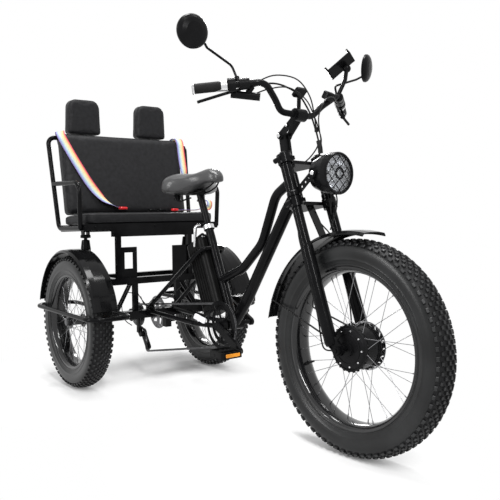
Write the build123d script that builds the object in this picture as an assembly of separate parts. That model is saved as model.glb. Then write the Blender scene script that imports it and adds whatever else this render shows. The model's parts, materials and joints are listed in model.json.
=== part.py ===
"""Electric fat tire tricycle: two seats on a bench over the rear axle, pedals and a front hub motor.

Millimetres, +X forward, +Y left, +Z up. Everything is drawn from the point on the ground under the
middle of the rear axle, then moved by ORIGIN_SHIFT so that the origin is on the ground under the
middle of the whole machine.
"""
from build123d import *
from math import acos, asin, atan2, cos, degrees, hypot, pi, radians, sin, tan
import os

# ---------------------------------------------------------------- driving dimensions
WHEELBASE = 1382
TRACK = 718
FRONT_TYRE_R = 350
REAR_TYRE_R = 298
FRONT_BEAD_R = 261
REAR_BEAD_R = 209
TYRE_W = 98
TREAD_DEPTH = 5
LUG_LENGTH = 28
RIM_W = 80
HEAD_ANGLE = 69.2
FORK_OFFSET = 92
LEG_SPACING = 166
FORK_LEG_FORWARD = 67
TURN = 3.5

FRAME_TUBE_D = 44
TOP_TUBE_D = 35
SEAT_TUBE_D = 35
SEAT_TUBE_ANGLE = 65.4
CRANK_X = 718
CRANK_Z = 341
CRANK_LENGTH = 170
CRANK_ANGLE = -26
PEDAL_SPINDLE_D = 12
CHAIN_PITCH = 12.7
RING_TEETH = 42
COG_TEETH = 24
CHAIN_Y = -55
CHAIN_HEIGHT = 8
GUIDE_WHEEL = (66, 214)
TENSION_WHEEL = (106, 158)
JOCKEY_R = 20

BEAM_X = 104
BEAM_Z = 316
BEAM_SIZE = 36
AXLE_D = 20
RAIL_D = 19
RAIL_Z = BEAM_Z + BEAM_SIZE / 2 + RAIL_D / 2
RACK_Z = 472
RACK_TUBE = 30
RACK_FRONT_X = 90
RACK_REAR_X = -130
RACK_HALF_WIDTH = 215
DECK_HOLE_D = 6.6

BENCH_WIDTH = 706
BENCH_FRONT_X = 92
BENCH_REAR_X = -226
BENCH_FRAME_Z = 706
BENCH_TUBE = 30
ARM_Z = 918
CUSHION_T = 50
BACK_LEAN = 11
BACK_T = 70
BACK_W = 660
SEAT_TILT = 2
HEADREST_Y = 184
LOOP_TUBE_D = 21
LOOP_Y = 366
REAR_BEAM_Z = 696
# x, half width, top height and edge height of the saddle at each of its cross-sections
SADDLE_STATIONS = [(348, 88, 934, 880), (356, 112, 945, 866), (376, 130, 951, 858), (412, 132, 952, 858),
                   (448, 108, 949, 868), (484, 76, 948, 882), (518, 52, 954, 894), (556, 40, 966, 903),
                   (594, 36, 963, 905), (617, 28, 948, 906), (630, 12, 926, 911)]

FENDER_T = 3
REAR_FENDER_R = 326
FRONT_FENDER_R = 378
FENDER_W = 114

MOTOR_R = 74
MOTOR_HALF = 44
DISC_R = 80

CROWN_LOW = 503
CROWN_HIGH = 655
CROWN_T = 13
STEERER_R = 14.3
STEM_PIVOT = Vector(16, 0, 782)
BAR_CLAMP = Vector(108, 0, 818)
BAR_D = 22.2
CLAMP_BORE_R = 15.9
BAR_POINTS = [BAR_CLAMP, (98, 76, 826), (121, 112, 857), (156, 176, 894), (12, 363, 918)]
BAR_RADII = [45, 120, 45]
MIRROR_R = 53
MIRROR_FOOT = Vector(100, 242, 924)

LAMP = Pos(1281, 0, 911) * Rot(0, 90, 0)
LAMP_R = 70
LENS_R = 65
LAMP_OUTSIDE = [(0, -95), (30, -92), (52, -74), (64, -40), (LAMP_R, -8), (LAMP_R, 14), (LAMP_R - 3, 18)]

CLEAR = 0.3
REAR_END_X = -327.5
FRONT_END_X = 1732.43
GROUND_DROP = 0.25
ORIGIN_SHIFT = Location((-(FRONT_END_X + REAR_END_X) / 2, 0, GROUND_DROP))

FRONT_HUB = Vector(WHEELBASE, 0, FRONT_TYRE_R)
STEER_AXIS = Vector(-cos(radians(HEAD_ANGLE)), 0, sin(radians(HEAD_ANGLE)))
STEER_FORWARD = Vector(sin(radians(HEAD_ANGLE)), 0, cos(radians(HEAD_ANGLE)))
# steering frame: x forward of the steering axis, y left, z up along the axis from the hub's height
STEER = Plane(origin=FRONT_HUB - STEER_FORWARD * FORK_OFFSET, x_dir=STEER_FORWARD, z_dir=STEER_AXIS).location
# the handlebar, fork and front wheel rest turned a little to the left
TURNED = STEER * Rot(0, 0, TURN) * STEER.inverse()


# back cushion's frame: x out of its front face, y left, z up the leaning back
BACK_PLANE = Plane(origin=(-148, 0, 790), x_dir=(cos(radians(BACK_LEAN)), 0, sin(radians(BACK_LEAN))),
                   z_dir=(-sin(radians(BACK_LEAN)), 0, cos(radians(BACK_LEAN))))


# ---------------------------------------------------------------- helpers
def rod(start, end, diameter):
    """Round bar or tube between two points."""
    start, end = Vector(*start), Vector(*end)
    length = (end - start).length
    return Plane(origin=start, z_dir=end - start) * Cylinder(
        diameter / 2, length, align=(Align.CENTER, Align.CENTER, Align.MIN))


def bent(points, diameter, radii):
    """Round tube along straight runs joined by tangent arcs."""
    path = FilletPolyline(*points, radius=radii)
    return sweep(Plane(origin=path @ 0, z_dir=path % 0) * Circle(diameter / 2), path=path)


def block(size, centre, radius=0):
    """Box with its upright edges rounded."""
    solid = Box(*size)
    if radius:
        solid = fillet(solid.edges().filter_by(Axis.Z), radius)
    return Pos(*centre) * solid


def cushion(size, radius):
    """Box with every edge rounded."""
    solid = Box(*size)
    return fillet(solid.edges(), radius)


def across(radius, width, x, y, z, bore=0):
    """Disc or sleeve whose axis lies across the machine."""
    solid = Cylinder(radius, width)
    if bore:
        solid -= Cylinder(bore, width)
    return Pos(x, y, z) * Rot(90, 0, 0) * solid


def turned(profile, x, y, z, arc=360, start=0):
    """Turn a closed outline of (radius, offset across) about an axis across the machine."""
    face = make_face(Plane.XZ * Polyline(*profile, close=True))
    return Pos(x, y, z) * Rot(90, 0, 0) * Rot(0, 0, start) * revolve(face, Axis.Z, arc)


def mirrored(solid):
    """The same solid on the other side of the machine."""
    return mirror(solid, about=Plane.XZ)


def both_sides(solid):
    return solid + mirrored(solid)


def seat_tube_point(height, behind=0):
    """Point on the seat tube's centre line, or a distance behind it."""
    along = (height - CRANK_Z) / sin(radians(SEAT_TUBE_ANGLE))
    return Vector(
        CRANK_X - along * cos(radians(SEAT_TUBE_ANGLE)) - behind * sin(radians(SEAT_TUBE_ANGLE)),
        0,
        height - behind * cos(radians(SEAT_TUBE_ANGLE)))


# ---------------------------------------------------------------- wheels
def tyre(outer_r, bead_r, lugs):
    """Balloon tyre, open toward the rim, with a row of tread blocks along each side of its crown."""
    half = TYRE_W / 2
    side_r = (outer_r + bead_r) / 2
    base = outer_r - TREAD_DEPTH
    left = [(base, 22), (outer_r - 26, 45), (side_r, half), (bead_r + 0.5, RIM_W / 2 + 2),
            (bead_r + 0.5, RIM_W / 2 - 4), (bead_r - 8, RIM_W / 2 - 5.5), (bead_r - 8, RIM_W / 2 - 11),
            (side_r, half - 8), (outer_r - 18, 26)]
    casing = turned(left + [(r, -w) for r, w in reversed(left)], 0, 0, 0)
    tip = hypot(outer_r, LUG_LENGTH / 2) - outer_r
    outline = Polyline((base - 8, 3), (outer_r - tip, 3), (outer_r - tip, 25), (outer_r - 17, 45), (outer_r - 24, 40),
                       close=True)
    lug = extrude(make_face(outline), LUG_LENGTH / 2, both=True)
    blocks = [Rot(0, 90 + 360 * i / lugs, 0) * lug for i in range(lugs)]
    blocks += [Rot(0, 90 + 360 * (i + 0.5) / lugs, 0) * mirrored(lug) for i in range(lugs)]
    return casing + blocks


def rim(bead_r):
    """Wide single-wall rim: shallow well and two flanges."""
    half = RIM_W / 2
    left = [(bead_r - 22, 30), (bead_r - 20, half), (bead_r, half), (bead_r, half - 3.5)]
    bed = [(bead_r - 9, half - 5), (bead_r - 12, 22), (bead_r - 17, 14)]
    left = [(bead_r - 26, 12)] + left + bed
    return left + [(r, -w) for r, w in reversed(left)]


def spokes(count, hub_r, flange_y, rim_r, rim_y, lead, thickness=2.2):
    """Laced spokes as slim square bars, half leading and half trailing from each flange."""
    bars = []
    for i in range(count):
        side = 1 if i % 2 else -1
        turn = 1 if (i // 2) % 2 else -1
        rim_angle = radians(360 * i / count)
        hub_angle = rim_angle + radians(turn * lead)
        shift = 2 * turn
        start = Vector(hub_r * cos(hub_angle), side * flange_y + shift, hub_r * sin(hub_angle))
        end = Vector(rim_r * cos(rim_angle), side * rim_y + shift, rim_r * sin(rim_angle))
        plane = Plane(origin=start, x_dir=(0, 1, 0), z_dir=end - start)
        bars.append(plane * Box(thickness, thickness, (end - start).length,
                                align=(Align.CENTER, Align.CENTER, Align.MIN)))
    return bars


def front_tyre():
    return Pos(*FRONT_HUB) * tyre(FRONT_TYRE_R, FRONT_BEAD_R, 30)


def front_rim():
    lacing = [Pos(*FRONT_HUB) * s for s in spokes(36, MOTOR_R - 2, 34, FRONT_BEAD_R - 20, 12, 24)]
    wheel = turned(rim(FRONT_BEAD_R), *FRONT_HUB) + lacing
    return wheel - hub_motor()


def hub_motor():
    """Geared hub motor: barrel with two spoke flanges, covers and hollow axle stubs."""
    half = MOTOR_HALF
    outline = [(8, -half - 8), (24, -half - 8), (24, -half), (62, -half + 2), (68, -half + 8), (68, -38),
               (MOTOR_R, -37), (MOTOR_R, -31), (70, -30), (70, 30), (MOTOR_R, 31), (MOTOR_R, 37), (68, 38),
               (68, half - 8), (62, half - 2), (24, half), (24, half + 8), (8, half + 8)]
    return turned(outline, *FRONT_HUB)


def brake_disc(centre_bore):
    """Thin brake disc: slotted friction ring on six spokes."""
    disc = Cylinder(DISC_R, 2)
    disc -= Cylinder(centre_bore, 2)
    window = make_hull((Pos(42, 5) * Circle(9) + Pos(56, -9) * Circle(5)).edges())
    slot = make_hull((Pos(DISC_R - 15, -5) * Circle(1.8) + Pos(DISC_R - 6, 2) * Circle(1.8)).edges())
    cuts = [Rot(0, 0, 60 * i) * extrude(window, 2, both=True) for i in range(6)]
    cuts += [Rot(0, 0, 20 * i) * extrude(slot, 2, both=True) for i in range(18)]
    return Rot(90, 0, 0) * (disc - cuts)


def front_rotor():
    return Pos(FRONT_HUB.X, MOTOR_HALF + 4, FRONT_HUB.Z) * brake_disc(24)


def rear_tyre(side):
    return Pos(0, side * TRACK / 2, REAR_TYRE_R) * tyre(REAR_TYRE_R, REAR_BEAD_R, 26)


def rear_wheel(side):
    """Rear rim laced to a flanged hub."""
    centre = (0, side * TRACK / 2, REAR_TYRE_R)
    hub = turned([(AXLE_D / 2, -42), (20, -42), (20, -34), (30, -33), (30, -29), (19, -27), (19, 27),
                  (30, 29), (30, 33), (20, 34), (20, 42), (AXLE_D / 2, 42)], *centre)
    lacing = [Pos(*centre) * s for s in spokes(36, 26, 31, REAR_BEAD_R - 20, 12, 62)]
    return turned(rim(REAR_BEAD_R), *centre) + lacing + hub


def rear_axle():
    """Driven axle: right wheel to the middle, with the cassette and the brake disc."""
    length_right = TRACK / 2 + 52
    shaft = rod((0, -length_right, REAR_TYRE_R), (0, 118, REAR_TYRE_R), AXLE_D)
    nut = across(16, 9, 0, -TRACK / 2 - 46.5, REAR_TYRE_R, bore=AXLE_D / 2)
    cogs = turned([(AXLE_D / 2, -73), (20, -73), (20, -39), (24, -39), (24, -29), (AXLE_D / 2, -29)],
                  0, 0, REAR_TYRE_R)
    for y, teeth in ((-44, 28), (-61, 19), (-66, 16), (-71, 13)):
        cogs += across(teeth * CHAIN_PITCH / (2 * pi), 2, 0, y, REAR_TYRE_R)
    cogs += across(COG_TEETH * CHAIN_PITCH / (2 * pi) - CHAIN_HEIGHT / 2 - 5, 2, 0, CHAIN_Y, REAR_TYRE_R)
    disc = Pos(0, 58, REAR_TYRE_R) * brake_disc(AXLE_D / 2) + across(26, 14, 0, 66, REAR_TYRE_R, bore=AXLE_D / 2)
    return shaft + nut + cogs + disc


def stub_axle():
    """Left wheel's own short axle, fixed to the frame's outer bearing plate."""
    return rod((0, 262, REAR_TYRE_R), (0, TRACK / 2 + 52, REAR_TYRE_R), AXLE_D - 1) + \
        across(16, 9, 0, TRACK / 2 + 47, REAR_TYRE_R)


# ---------------------------------------------------------------- frame
def front_frame():
    """Step-through frame: head tube, curved main tubes, seat tube, crank shell and stays."""
    head = STEER * Pos(0, 0, 585) * (Cylinder(23, 112) - Cylinder(17.5, 112))
    down = bent([(1095, 0, 847), (1042, 0, 782), (812, 0, 452), (728, 0, 352)], FRAME_TUBE_D, [120, 200])
    top = bent([(1076, 0, 897), (985, 0, 845), (905, 0, 668), (780, 0, 563), (640, 0, 511)],
               TOP_TUBE_D, [80, 130, 130])
    seat = rod(seat_tube_point(CRANK_Z), seat_tube_point(712), SEAT_TUBE_D)
    shell = across(23, 74, CRANK_X, 0, CRANK_Z)
    seat_stay = bent([(581, -8, 640), (573, -57, 635), (150, -72, 350)], 18, [24])
    chain_stay = bent([(700, -26, 334), (606, -34, 322), (520, -60, 322), (150, -68, 332)], 20, [80, 80])
    yoke = block((70, 8, 50), (BEAM_X + BEAM_SIZE / 2 + 35, -69, 337))
    frame = head + down + top + seat + shell + both_sides(seat_stay + chain_stay + yoke)
    frame -= across(13, 90, CRANK_X, 0, CRANK_Z)
    frame -= STEER * Pos(0, 0, 585) * Cylinder(17.5, 160)
    return frame


def axle_plate(y, bore, width=8):
    """Plate that carries the axle behind the main beam."""
    outline = make_hull((Circle(30) + Pos(BEAM_X - BEAM_SIZE / 2 - 2, BEAM_Z - REAR_TYRE_R) * Rectangle(
        4, BEAM_SIZE)).edges())
    plate = extrude(outline, width / 2, both=True) - Cylinder(bore, width)
    return Pos(0, y, REAR_TYRE_R) * Rot(90, 0, 0) * plate


def rear_frame():
    """Main beam ahead of the rear axle, its bearing plates, and the raised rack."""
    beam = block((BEAM_SIZE, 580, BEAM_SIZE), (BEAM_X, 0, BEAM_Z))
    plates = axle_plate(-272, AXLE_D / 2 + 1) + axle_plate(-84, AXLE_D / 2 + 1) + \
        axle_plate(100, AXLE_D / 2 + 1) + axle_plate(272, AXLE_D / 2 - 0.5, 20)
    rack_w = 2 * RACK_HALF_WIDTH + RACK_TUBE
    rack_l = RACK_FRONT_X - RACK_REAR_X
    rack = block((RACK_TUBE, rack_w, RACK_TUBE), (RACK_FRONT_X, 0, RACK_Z)) + \
        block((RACK_TUBE, rack_w, RACK_TUBE), (RACK_REAR_X, 0, RACK_Z))
    side = block((rack_l, RACK_TUBE, RACK_TUBE), ((RACK_FRONT_X + RACK_REAR_X) / 2, RACK_HALF_WIDTH, RACK_Z))
    strut = rod((RACK_FRONT_X, 130, RACK_Z - 4), (BEAM_X, 220, BEAM_Z + 6), 20)
    rear_leg = rod((RACK_REAR_X, 200, RACK_Z - 5), (BEAM_X - 14, 216, BEAM_Z + 5), 20)
    post = block((22, 22, RACK_Z - BEAM_Z), (RACK_FRONT_X + 3, 112, (RACK_Z + BEAM_Z) / 2))
    outrigger = block((24, 60, 24), (-78, 256, RACK_Z)) + block((24, 24, 130), (-78, 274, RACK_Z + 53))
    frame = beam + plates + rack + both_sides(side + strut + rear_leg + post + outrigger)
    for x in (RACK_FRONT_X, RACK_REAR_X):
        for y in (-90, 90):
            frame -= Pos(x, y, RACK_Z) * Cylinder(DECK_HOLE_D / 2, RACK_TUBE + 2)
    return frame


def side_bars():
    """Closed foot rail round each rear wheel, standing on the main beam."""
    inner, outer, reach, z = 240, 432, 318, RAIL_Z
    runs = [(0, inner, z), (reach, inner, z), (reach, outer, z), (-reach, outer, z), (-reach, inner, z),
            (-1, inner, z)]
    rail = bent(runs, RAIL_D, [60, 60, 60, 60])
    return both_sides(rail)


def battery():
    """Battery case with lengthwise flutes and a carrying loop, on a rail behind the seat tube."""
    case = fillet(Box(120, 86, 300).edges().filter_by(Axis.Z), 20)
    case = fillet(case.faces().sort_by(Axis.Z)[-1].edges(), 8)
    for x in (-34, -17, 0, 17, 34):
        for y in (-45, 45):
            case -= Pos(x, y, -12) * Box(8, 9, 240)
    for y in (-22, 0, 22):
        case -= Pos(-62, y, -12) * Box(9, 10, 240)
    case += Pos(0, 0, -158) * Box(112, 78, 16)
    loop = bent([(-38, 0, 146), (-38, 0, 172), (34, 0, 172), (34, 0, 146)], 11, [12, 12])
    rail = Pos(62, 0, 0) * Box(6, 30, 310)
    centre = seat_tube_point(560, SEAT_TUBE_D / 2 + 65.3)
    return Plane(origin=centre, x_dir=Vector(sin(radians(SEAT_TUBE_ANGLE)), 0, cos(radians(SEAT_TUBE_ANGLE))),
                 z_dir=Vector(-cos(radians(SEAT_TUBE_ANGLE)), 0, sin(radians(SEAT_TUBE_ANGLE)))) * (case + loop + rail)


def seat_post():
    """Seat post with the tube's clamp, its quick-release lever and the saddle's clamp head."""
    low, high, top = seat_tube_point(712), seat_tube_point(732), seat_tube_point(862)
    post = rod(low, seat_tube_point(866), 30) + rod(low, high, 44)
    ear = block((20, 34, 16), (low.X - 26, 0, low.Z + 18))
    lever = bent([(low.X - 26, 19, low.Z + 18), (low.X - 26, -48, low.Z + 18), (low.X - 34, -52, low.Z - 70)], 9, [9])
    head = block((54, 38, 20), (top.X - 8, 0, top.Z + 6), 6)
    return post + ear + lever + head


def saddle():
    """Comfort saddle through its cross-sections (place, half width, top, edge), with a clamp between its rails."""
    sections = []
    for x, half, top, low in SADDLE_STATIONS:
        rise = top - low
        right = [(0, top), (-0.45 * half, top - 0.04 * rise), (-0.85 * half, top - 0.25 * rise),
                 (-half, top - 0.62 * rise), (-0.94 * half, low)]
        outline = right + [(-y, z) for y, z in reversed(right[1:])]
        sections.append(make_face(Polyline(*[(x, y, z) for y, z in outline], close=True)))
    return loft(sections, ruled=True) - seat_post()


# ---------------------------------------------------------------- bench
def bench_mounts():
    """Front posts with their plates, and rear spring units under forked brackets."""
    top, bottom = BENCH_FRAME_Z - BENCH_TUBE, RACK_Z + RACK_TUBE / 2
    post = block((22, 22, top - bottom), (RACK_FRONT_X - 6, 189, (top + bottom) / 2))
    plate = Pos(0, 0, bottom + 70) * block((4, 84, 140), (RACK_FRONT_X - 6, 137, 0))
    window = block((10, 42, 74), (RACK_FRONT_X - 6, -137, bottom + 78))
    low = RACK_Z + 118
    outline = [(0, low), (23, low), (23, low + 30), (18, low + 68), (8, low + 71), (8, low + 76), (23.5, low + 79),
               (23.5, low + 91), (12, low + 94), (0, low + 94)]
    spring = Pos(-78, 274, 0) * revolve(make_face(Plane.XZ * Polyline(*outline, close=True)), Axis.Z)
    spring += block((28, 7, 20), (-78, 262, low + 98)) + block((28, 7, 20), (-78, 286, low + 98))
    ceiling = Pos(-78, 0, REAR_BEAM_Z + 14) * Rot(0, -SEAT_TILT, 0) * Box(200, 800, 30)
    return both_sides(post + plate + spring) - window - ceiling


def bench_frame():
    """Seat frame that falls a little to the rear, uprights behind the back, and a closed tube round each side."""
    z = BENCH_FRAME_Z + BENCH_TUBE / 2
    length = BENCH_FRONT_X - BENCH_REAR_X
    mid_x = (BENCH_FRONT_X + BENCH_REAR_X) / 2
    ring = block((length, 626, BENCH_TUBE), (mid_x, 0, z)) - block((length - 50, 576, BENCH_TUBE), (mid_x, 0, z))
    front = block((30, BENCH_WIDTH, BENCH_TUBE), (BENCH_FRONT_X - 15, 0, z))
    cross = block((25, 600, BENCH_TUBE), (-78, 0, z)) + block((25, BENCH_WIDTH, BENCH_TUBE), (-165, 0, z))
    seat = Pos(BENCH_FRONT_X, 0, z) * Rot(0, -SEAT_TILT, 0) * Pos(-BENCH_FRONT_X, 0, -z) * (ring + front + cross)
    front_beam = block((30, 424, BENCH_TUBE), (BENCH_FRONT_X - 15, 0, BENCH_FRAME_Z - BENCH_TUBE / 2))
    rear_beam = Pos(-78, 0, REAR_BEAM_Z) * Rot(0, -SEAT_TILT, 0) * Pos(0, 0, 4) * Box(30, 580, 10)
    upright = BACK_PLANE * rod((-BACK_T - 10.5, HEADREST_Y, -70), (-BACK_T - 10.5, HEADREST_Y, 404), 20)
    upright += BACK_PLANE * rod((-BACK_T - 10.5, HEADREST_Y - 54, 394), (-BACK_T - 10.5, HEADREST_Y + 54, 394), 16)
    arm = bent([(70, LOOP_Y - 4, BENCH_FRAME_Z + 10), (80, LOOP_Y, ARM_Z), (-209, LOOP_Y + 5, ARM_Z + 4)],
               LOOP_TUBE_D, [45])
    hoop = bent([(72, LOOP_Y - 6, BENCH_FRAME_Z + 12), (-180, LOOP_Y - 6, BENCH_FRAME_Z + 5),
                 (-250, LOOP_Y + 12, 1142), (-248, BACK_W / 2 + 0.3, 1142)], LOOP_TUBE_D, [34, 32])
    return seat + front_beam + rear_beam + both_sides(upright + arm + hoop)


def seat_cushion():
    """Seat pad, thinner to the rear, its front corners rounded."""
    side = Polyline((BENCH_FRONT_X, 737), (BENCH_FRONT_X, 787), (-165, 770), (-165, 728.2), close=True)
    pad = extrude(Plane.XZ * make_face(side), BENCH_WIDTH / 2 - 2, both=True)
    pad = fillet(pad.edges().filter_by(Axis.Z).group_by(Axis.X)[-1], 55)
    pad = fillet(pad.edges().filter_by(Axis.Z).group_by(Axis.X)[0], 26)
    return fillet(pad.faces().sort_by(Axis.Z)[-1].edges(), 12)


def back_cushion():
    return BACK_PLANE * Pos(-BACK_T / 2, 0, 188) * cushion((BACK_T, BACK_W, 404), 12)


def headrests():
    """Padded headrests on two pins each, rounder at the top."""
    outline = Rectangle(164, 162)
    outline = fillet(outline.vertices().group_by(Axis.Y)[-1], 40)
    outline = fillet(outline.vertices().group_by(Axis.Y)[0], 14)
    pad = extrude(Plane.YZ * outline, 26, both=True)
    pad = Pos(-289, HEADREST_Y, 1257) * fillet(pad.faces().sort_by(Axis.X)[-1].edges(), 10)
    pins = None
    for y in (HEADREST_Y - 40, HEADREST_Y + 40):
        pin = rod((-302, y, 1169.6), (-302, y, 1180), 10)
        pins = pin if pins is None else pins + pin
    return both_sides(pad + pins)


def rear_fender(side):
    """Crowned mudguard with a bracket from each end down to the foot rail."""
    half = FENDER_W / 2
    r = REAR_FENDER_R
    outline = [(r - 12, -half), (r - 3, -half + 8), (r, -24), (r, 24), (r - 3, half - 8), (r - 12, half)]
    inner = [(rad - FENDER_T, w * 0.97) for rad, w in reversed(outline)]
    shell = turned(outline + inner, 0, side * TRACK / 2, REAR_TYRE_R, arc=153, start=14)
    for angle in (16, 165):
        end_x = (r - 1.5) * cos(radians(angle))
        end_z = REAR_TYRE_R + (r - 1.5) * sin(radians(angle))
        shell += block((3, 30, end_z - RAIL_Z), (end_x, side * TRACK / 2, (end_z + RAIL_Z) / 2))
    return shell - side_bars()


# ---------------------------------------------------------------- fork and controls


def fork_crown(low, ring_low, ring_high):
    """Forged crown: arms from the steerer to both legs, cut back between them, and a tall clamp round each leg."""
    legs = Pos(FORK_LEG_FORWARD, LEG_SPACING / 2) * Circle(25) + Pos(FORK_LEG_FORWARD, -LEG_SPACING / 2) * Circle(25)
    plate = Pos(0, 0, low) * extrude(make_hull((legs + Circle(25)).edges()), CROWN_T)
    front_edge = FORK_LEG_FORWARD - 9
    plate -= Pos(front_edge + 30, 0, low + CROWN_T / 2) * Box(60, LEG_SPACING - 50, CROWN_T)
    ring = Pos(FORK_LEG_FORWARD, LEG_SPACING / 2, (ring_low + ring_high) / 2) * Cylinder(25, ring_high - ring_low)
    lug = Pos(FORK_LEG_FORWARD - 8, LEG_SPACING / 2 + 24, (ring_low + ring_high) / 2) * \
        Rot(0, 90, 0) * Cylinder(9, 30)
    return plate + both_sides(ring + lug)


def fork_crowns():
    """Steerer with the lower and upper crown."""
    crowns = fork_crown(CROWN_LOW, 490, 524) + fork_crown(CROWN_HIGH, 648, 680)
    crowns += Pos(0, 0, CROWN_LOW) * Cylinder(STEERER_R, 727 - CROWN_LOW, align=(Align.CENTER, Align.CENTER, Align.MIN))
    for y in (-LEG_SPACING / 2, LEG_SPACING / 2):
        crowns -= Pos(FORK_LEG_FORWARD, y, 590) * Cylinder(17, 240)
    return STEER * crowns


def fork_legs():
    """Telescopic legs: sliders with dropouts, stanchions, upper sleeves and top caps."""
    y = LEG_SPACING / 2
    outline = [(0, 20), (17, 20), (21, 30), (21, 352), (19, 360), (17, 360), (17, 526), (22, 528), (22, 542), (20, 545),
               (20, 638), (17, 642), (17, 684), (11, 690), (0, 690)]
    profile = make_face(Plane.XZ * Polyline(*outline, close=True))
    leg = Pos(FORK_LEG_FORWARD, y, 0) * revolve(profile, Axis.Z, 360)
    drop = extrude(make_hull((Pos(FORK_LEG_FORWARD, 40) * Circle(20) + Pos(FORK_OFFSET, 0) * Circle(18)).edges()),
                   6, both=True)
    drop = Pos(0, y, 0) * Rot(90, 0, 0) * drop
    return STEER * both_sides(leg + drop) - front_axle()


def front_axle():
    """Fixed axle of the hub motor, held in the fork's dropouts."""
    return across(7, LEG_SPACING + 44, *FRONT_HUB) + across(13, 12, FRONT_HUB.X, LEG_SPACING / 2 + 12, FRONT_HUB.Z) + \
        across(13, 12, FRONT_HUB.X, -LEG_SPACING / 2 - 12, FRONT_HUB.Z)


def front_fender():
    half = FENDER_W / 2
    r = FRONT_FENDER_R
    outline = [(r - 12, -half), (r - 3, -half + 8), (r, -24), (r, 24), (r - 3, half - 8), (r - 12, half)]
    inner = [(rad - FENDER_T, w * 0.97) for rad, w in reversed(outline)]
    shell = turned(outline + inner, *FRONT_HUB, arc=91, start=80)
    strap = Plane.XZ * Polyline((48, CROWN_LOW), (52, CROWN_LOW), (77, 375.6), (73, 375.6), close=True)
    stay = rod((-186, half - 2, 240), (60, LEG_SPACING / 2 - 3, 46), 6)
    return shell + STEER * (extrude(make_face(strap), 17, both=True) + both_sides(stay)) - fork_legs() - front_caliper()


def steering_across(radius, width, centre):
    """Disc lying across the steering, given by its centre in the steering frame."""
    return Pos(*centre) * Rot(90, 0, 0) * Cylinder(radius, width)


def flat_bar(start, end, width, thickness):
    """Flat bar between two points, its width in the steering's middle plane."""
    start, end = Vector(*start), Vector(*end)
    way = end - start
    return Plane(origin=start, x_dir=way.cross(Vector(0, 1, 0)), z_dir=way) * Box(
        width, thickness, way.length, align=(Align.CENTER, Align.CENTER, Align.MIN))


def stem():
    """Adjustable stem: two plates up from the steerer clamp, a pivot, and two arms closing on the bar clamp."""
    clamp_low = Pos(0, 0, 704) * Cylinder(21, 44)
    plate = flat_bar((2, 12, 700), (STEM_PIVOT.X, 12, STEM_PIVOT.Z), 24, 9)
    arm = flat_bar((STEM_PIVOT.X, 20, STEM_PIVOT.Z), (BAR_CLAMP.X - 6, 11, BAR_CLAMP.Z - 2), 22, 8)
    boss = steering_across(13, 17, (STEM_PIVOT.X, 16, STEM_PIVOT.Z))
    stem_parts = clamp_low + both_sides(plate + arm + boss)
    stem_parts += steering_across(7, 56, STEM_PIVOT) + steering_across(22, 46, BAR_CLAMP)
    return STEER * (stem_parts - Pos(0, 0, 690) * Cylinder(STEERER_R, 80) -
                    steering_across(CLAMP_BORE_R, 60, BAR_CLAMP))


def bar_half():
    """Left half of the bar: out of the clamp, up and outward, then swept back along the grip."""
    return bent(BAR_POINTS, BAR_D, BAR_RADII)


def along_grip(distance):
    """Point on the left grip's centre line, measured inward from the bar's end."""
    tip, bend = Vector(*BAR_POINTS[-1]), Vector(*BAR_POINTS[-2])
    return tip + (bend - tip).normalized() * distance


def handlebar():
    return STEER * (both_sides(bar_half()) + steering_across(CLAMP_BORE_R, 56, BAR_CLAMP))


def grips():
    grip = rod(along_grip(-3), along_grip(114), 33) - rod(along_grip(0), along_grip(120), BAR_D)
    return STEER * both_sides(grip)


def lever_clamp():
    return rod(along_grip(152), along_grip(186), 38)


def brake_levers():
    """Levers on their clamps, inboard of the grips."""
    blade = bent([(104, 224, 892), (62, 278, 886), (24, 366, 864)], 10, [60])
    perch = rod(along_grip(169), (104, 224, 890), 22)
    return STEER * both_sides(lever_clamp() + perch + blade - bar_half())


def bar_mirror(side, centre, facing):
    """Round mirror with a domed back, on a bent stem that is screwed into the lever's clamp."""
    outline = [(0, -3), (MIRROR_R - 5, -3), (MIRROR_R - 4, -4), (MIRROR_R - 1, -4), (MIRROR_R, -3), (MIRROR_R, 4),
               (MIRROR_R - 4, 10), (MIRROR_R - 12, 15), (MIRROR_R - 26, 19.5), (0, 22)]
    shell = revolve(make_face(Plane.XZ * Polyline(*outline, close=True)), Axis.Z)
    head = Plane(origin=centre, z_dir=facing) * shell
    centre, facing = Vector(*centre), Vector(*facing).normalized()
    inward = Vector(121, 360, 1006) - centre
    inward = (inward - facing * inward.dot(facing)).normalized()
    socket = centre + inward * (MIRROR_R - 10) + facing * 5
    stem_rod = bent([MIRROR_FOOT, (98, 250, 974), (121, 360, 1006), socket], 8, [20, 20])
    foot = rod(MIRROR_FOOT - Vector(0, 0, 10), MIRROR_FOOT + Vector(0, 0, 8), 16)
    solid = head + stem_rod + foot - lever_clamp() - bar_half()
    return STEER * (solid if side > 0 else mirrored(solid))


def headlight():
    """Hollow bowl with a rolled rim and a wire guard of crossing bars round a ring."""
    inside = [(LAMP_R - 9, 16), (LAMP_R - 9, 11), (LENS_R, 11), (LENS_R, 6), (LENS_R - 5, 6), (LENS_R - 5, -10),
              (56, -40), (46, -68), (28, -84), (0, -87)]
    bowl = revolve(make_face(Plane.XZ * Polyline(*(LAMP_OUTSIDE + inside), close=True)), Axis.Z)
    guard = Pos(0, 0, 17) * (Cylinder(20, 3) - Cylinder(17, 3))
    for turn in (45, 135):
        for offset in (-39, -13, 13, 39):
            half = (LAMP_R - 5) * sin(acos(offset / (LAMP_R - 5)))
            guard += Rot(0, 0, turn) * rod((offset, -half, 17), (offset, half, 17), 3)
    return LAMP * (bowl + guard)


def headlight_lens():
    """Glass disc on the ledge inside the lamp's rim."""
    return LAMP * Pos(0, 0, 8.5) * Cylinder(LENS_R, 5)


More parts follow.
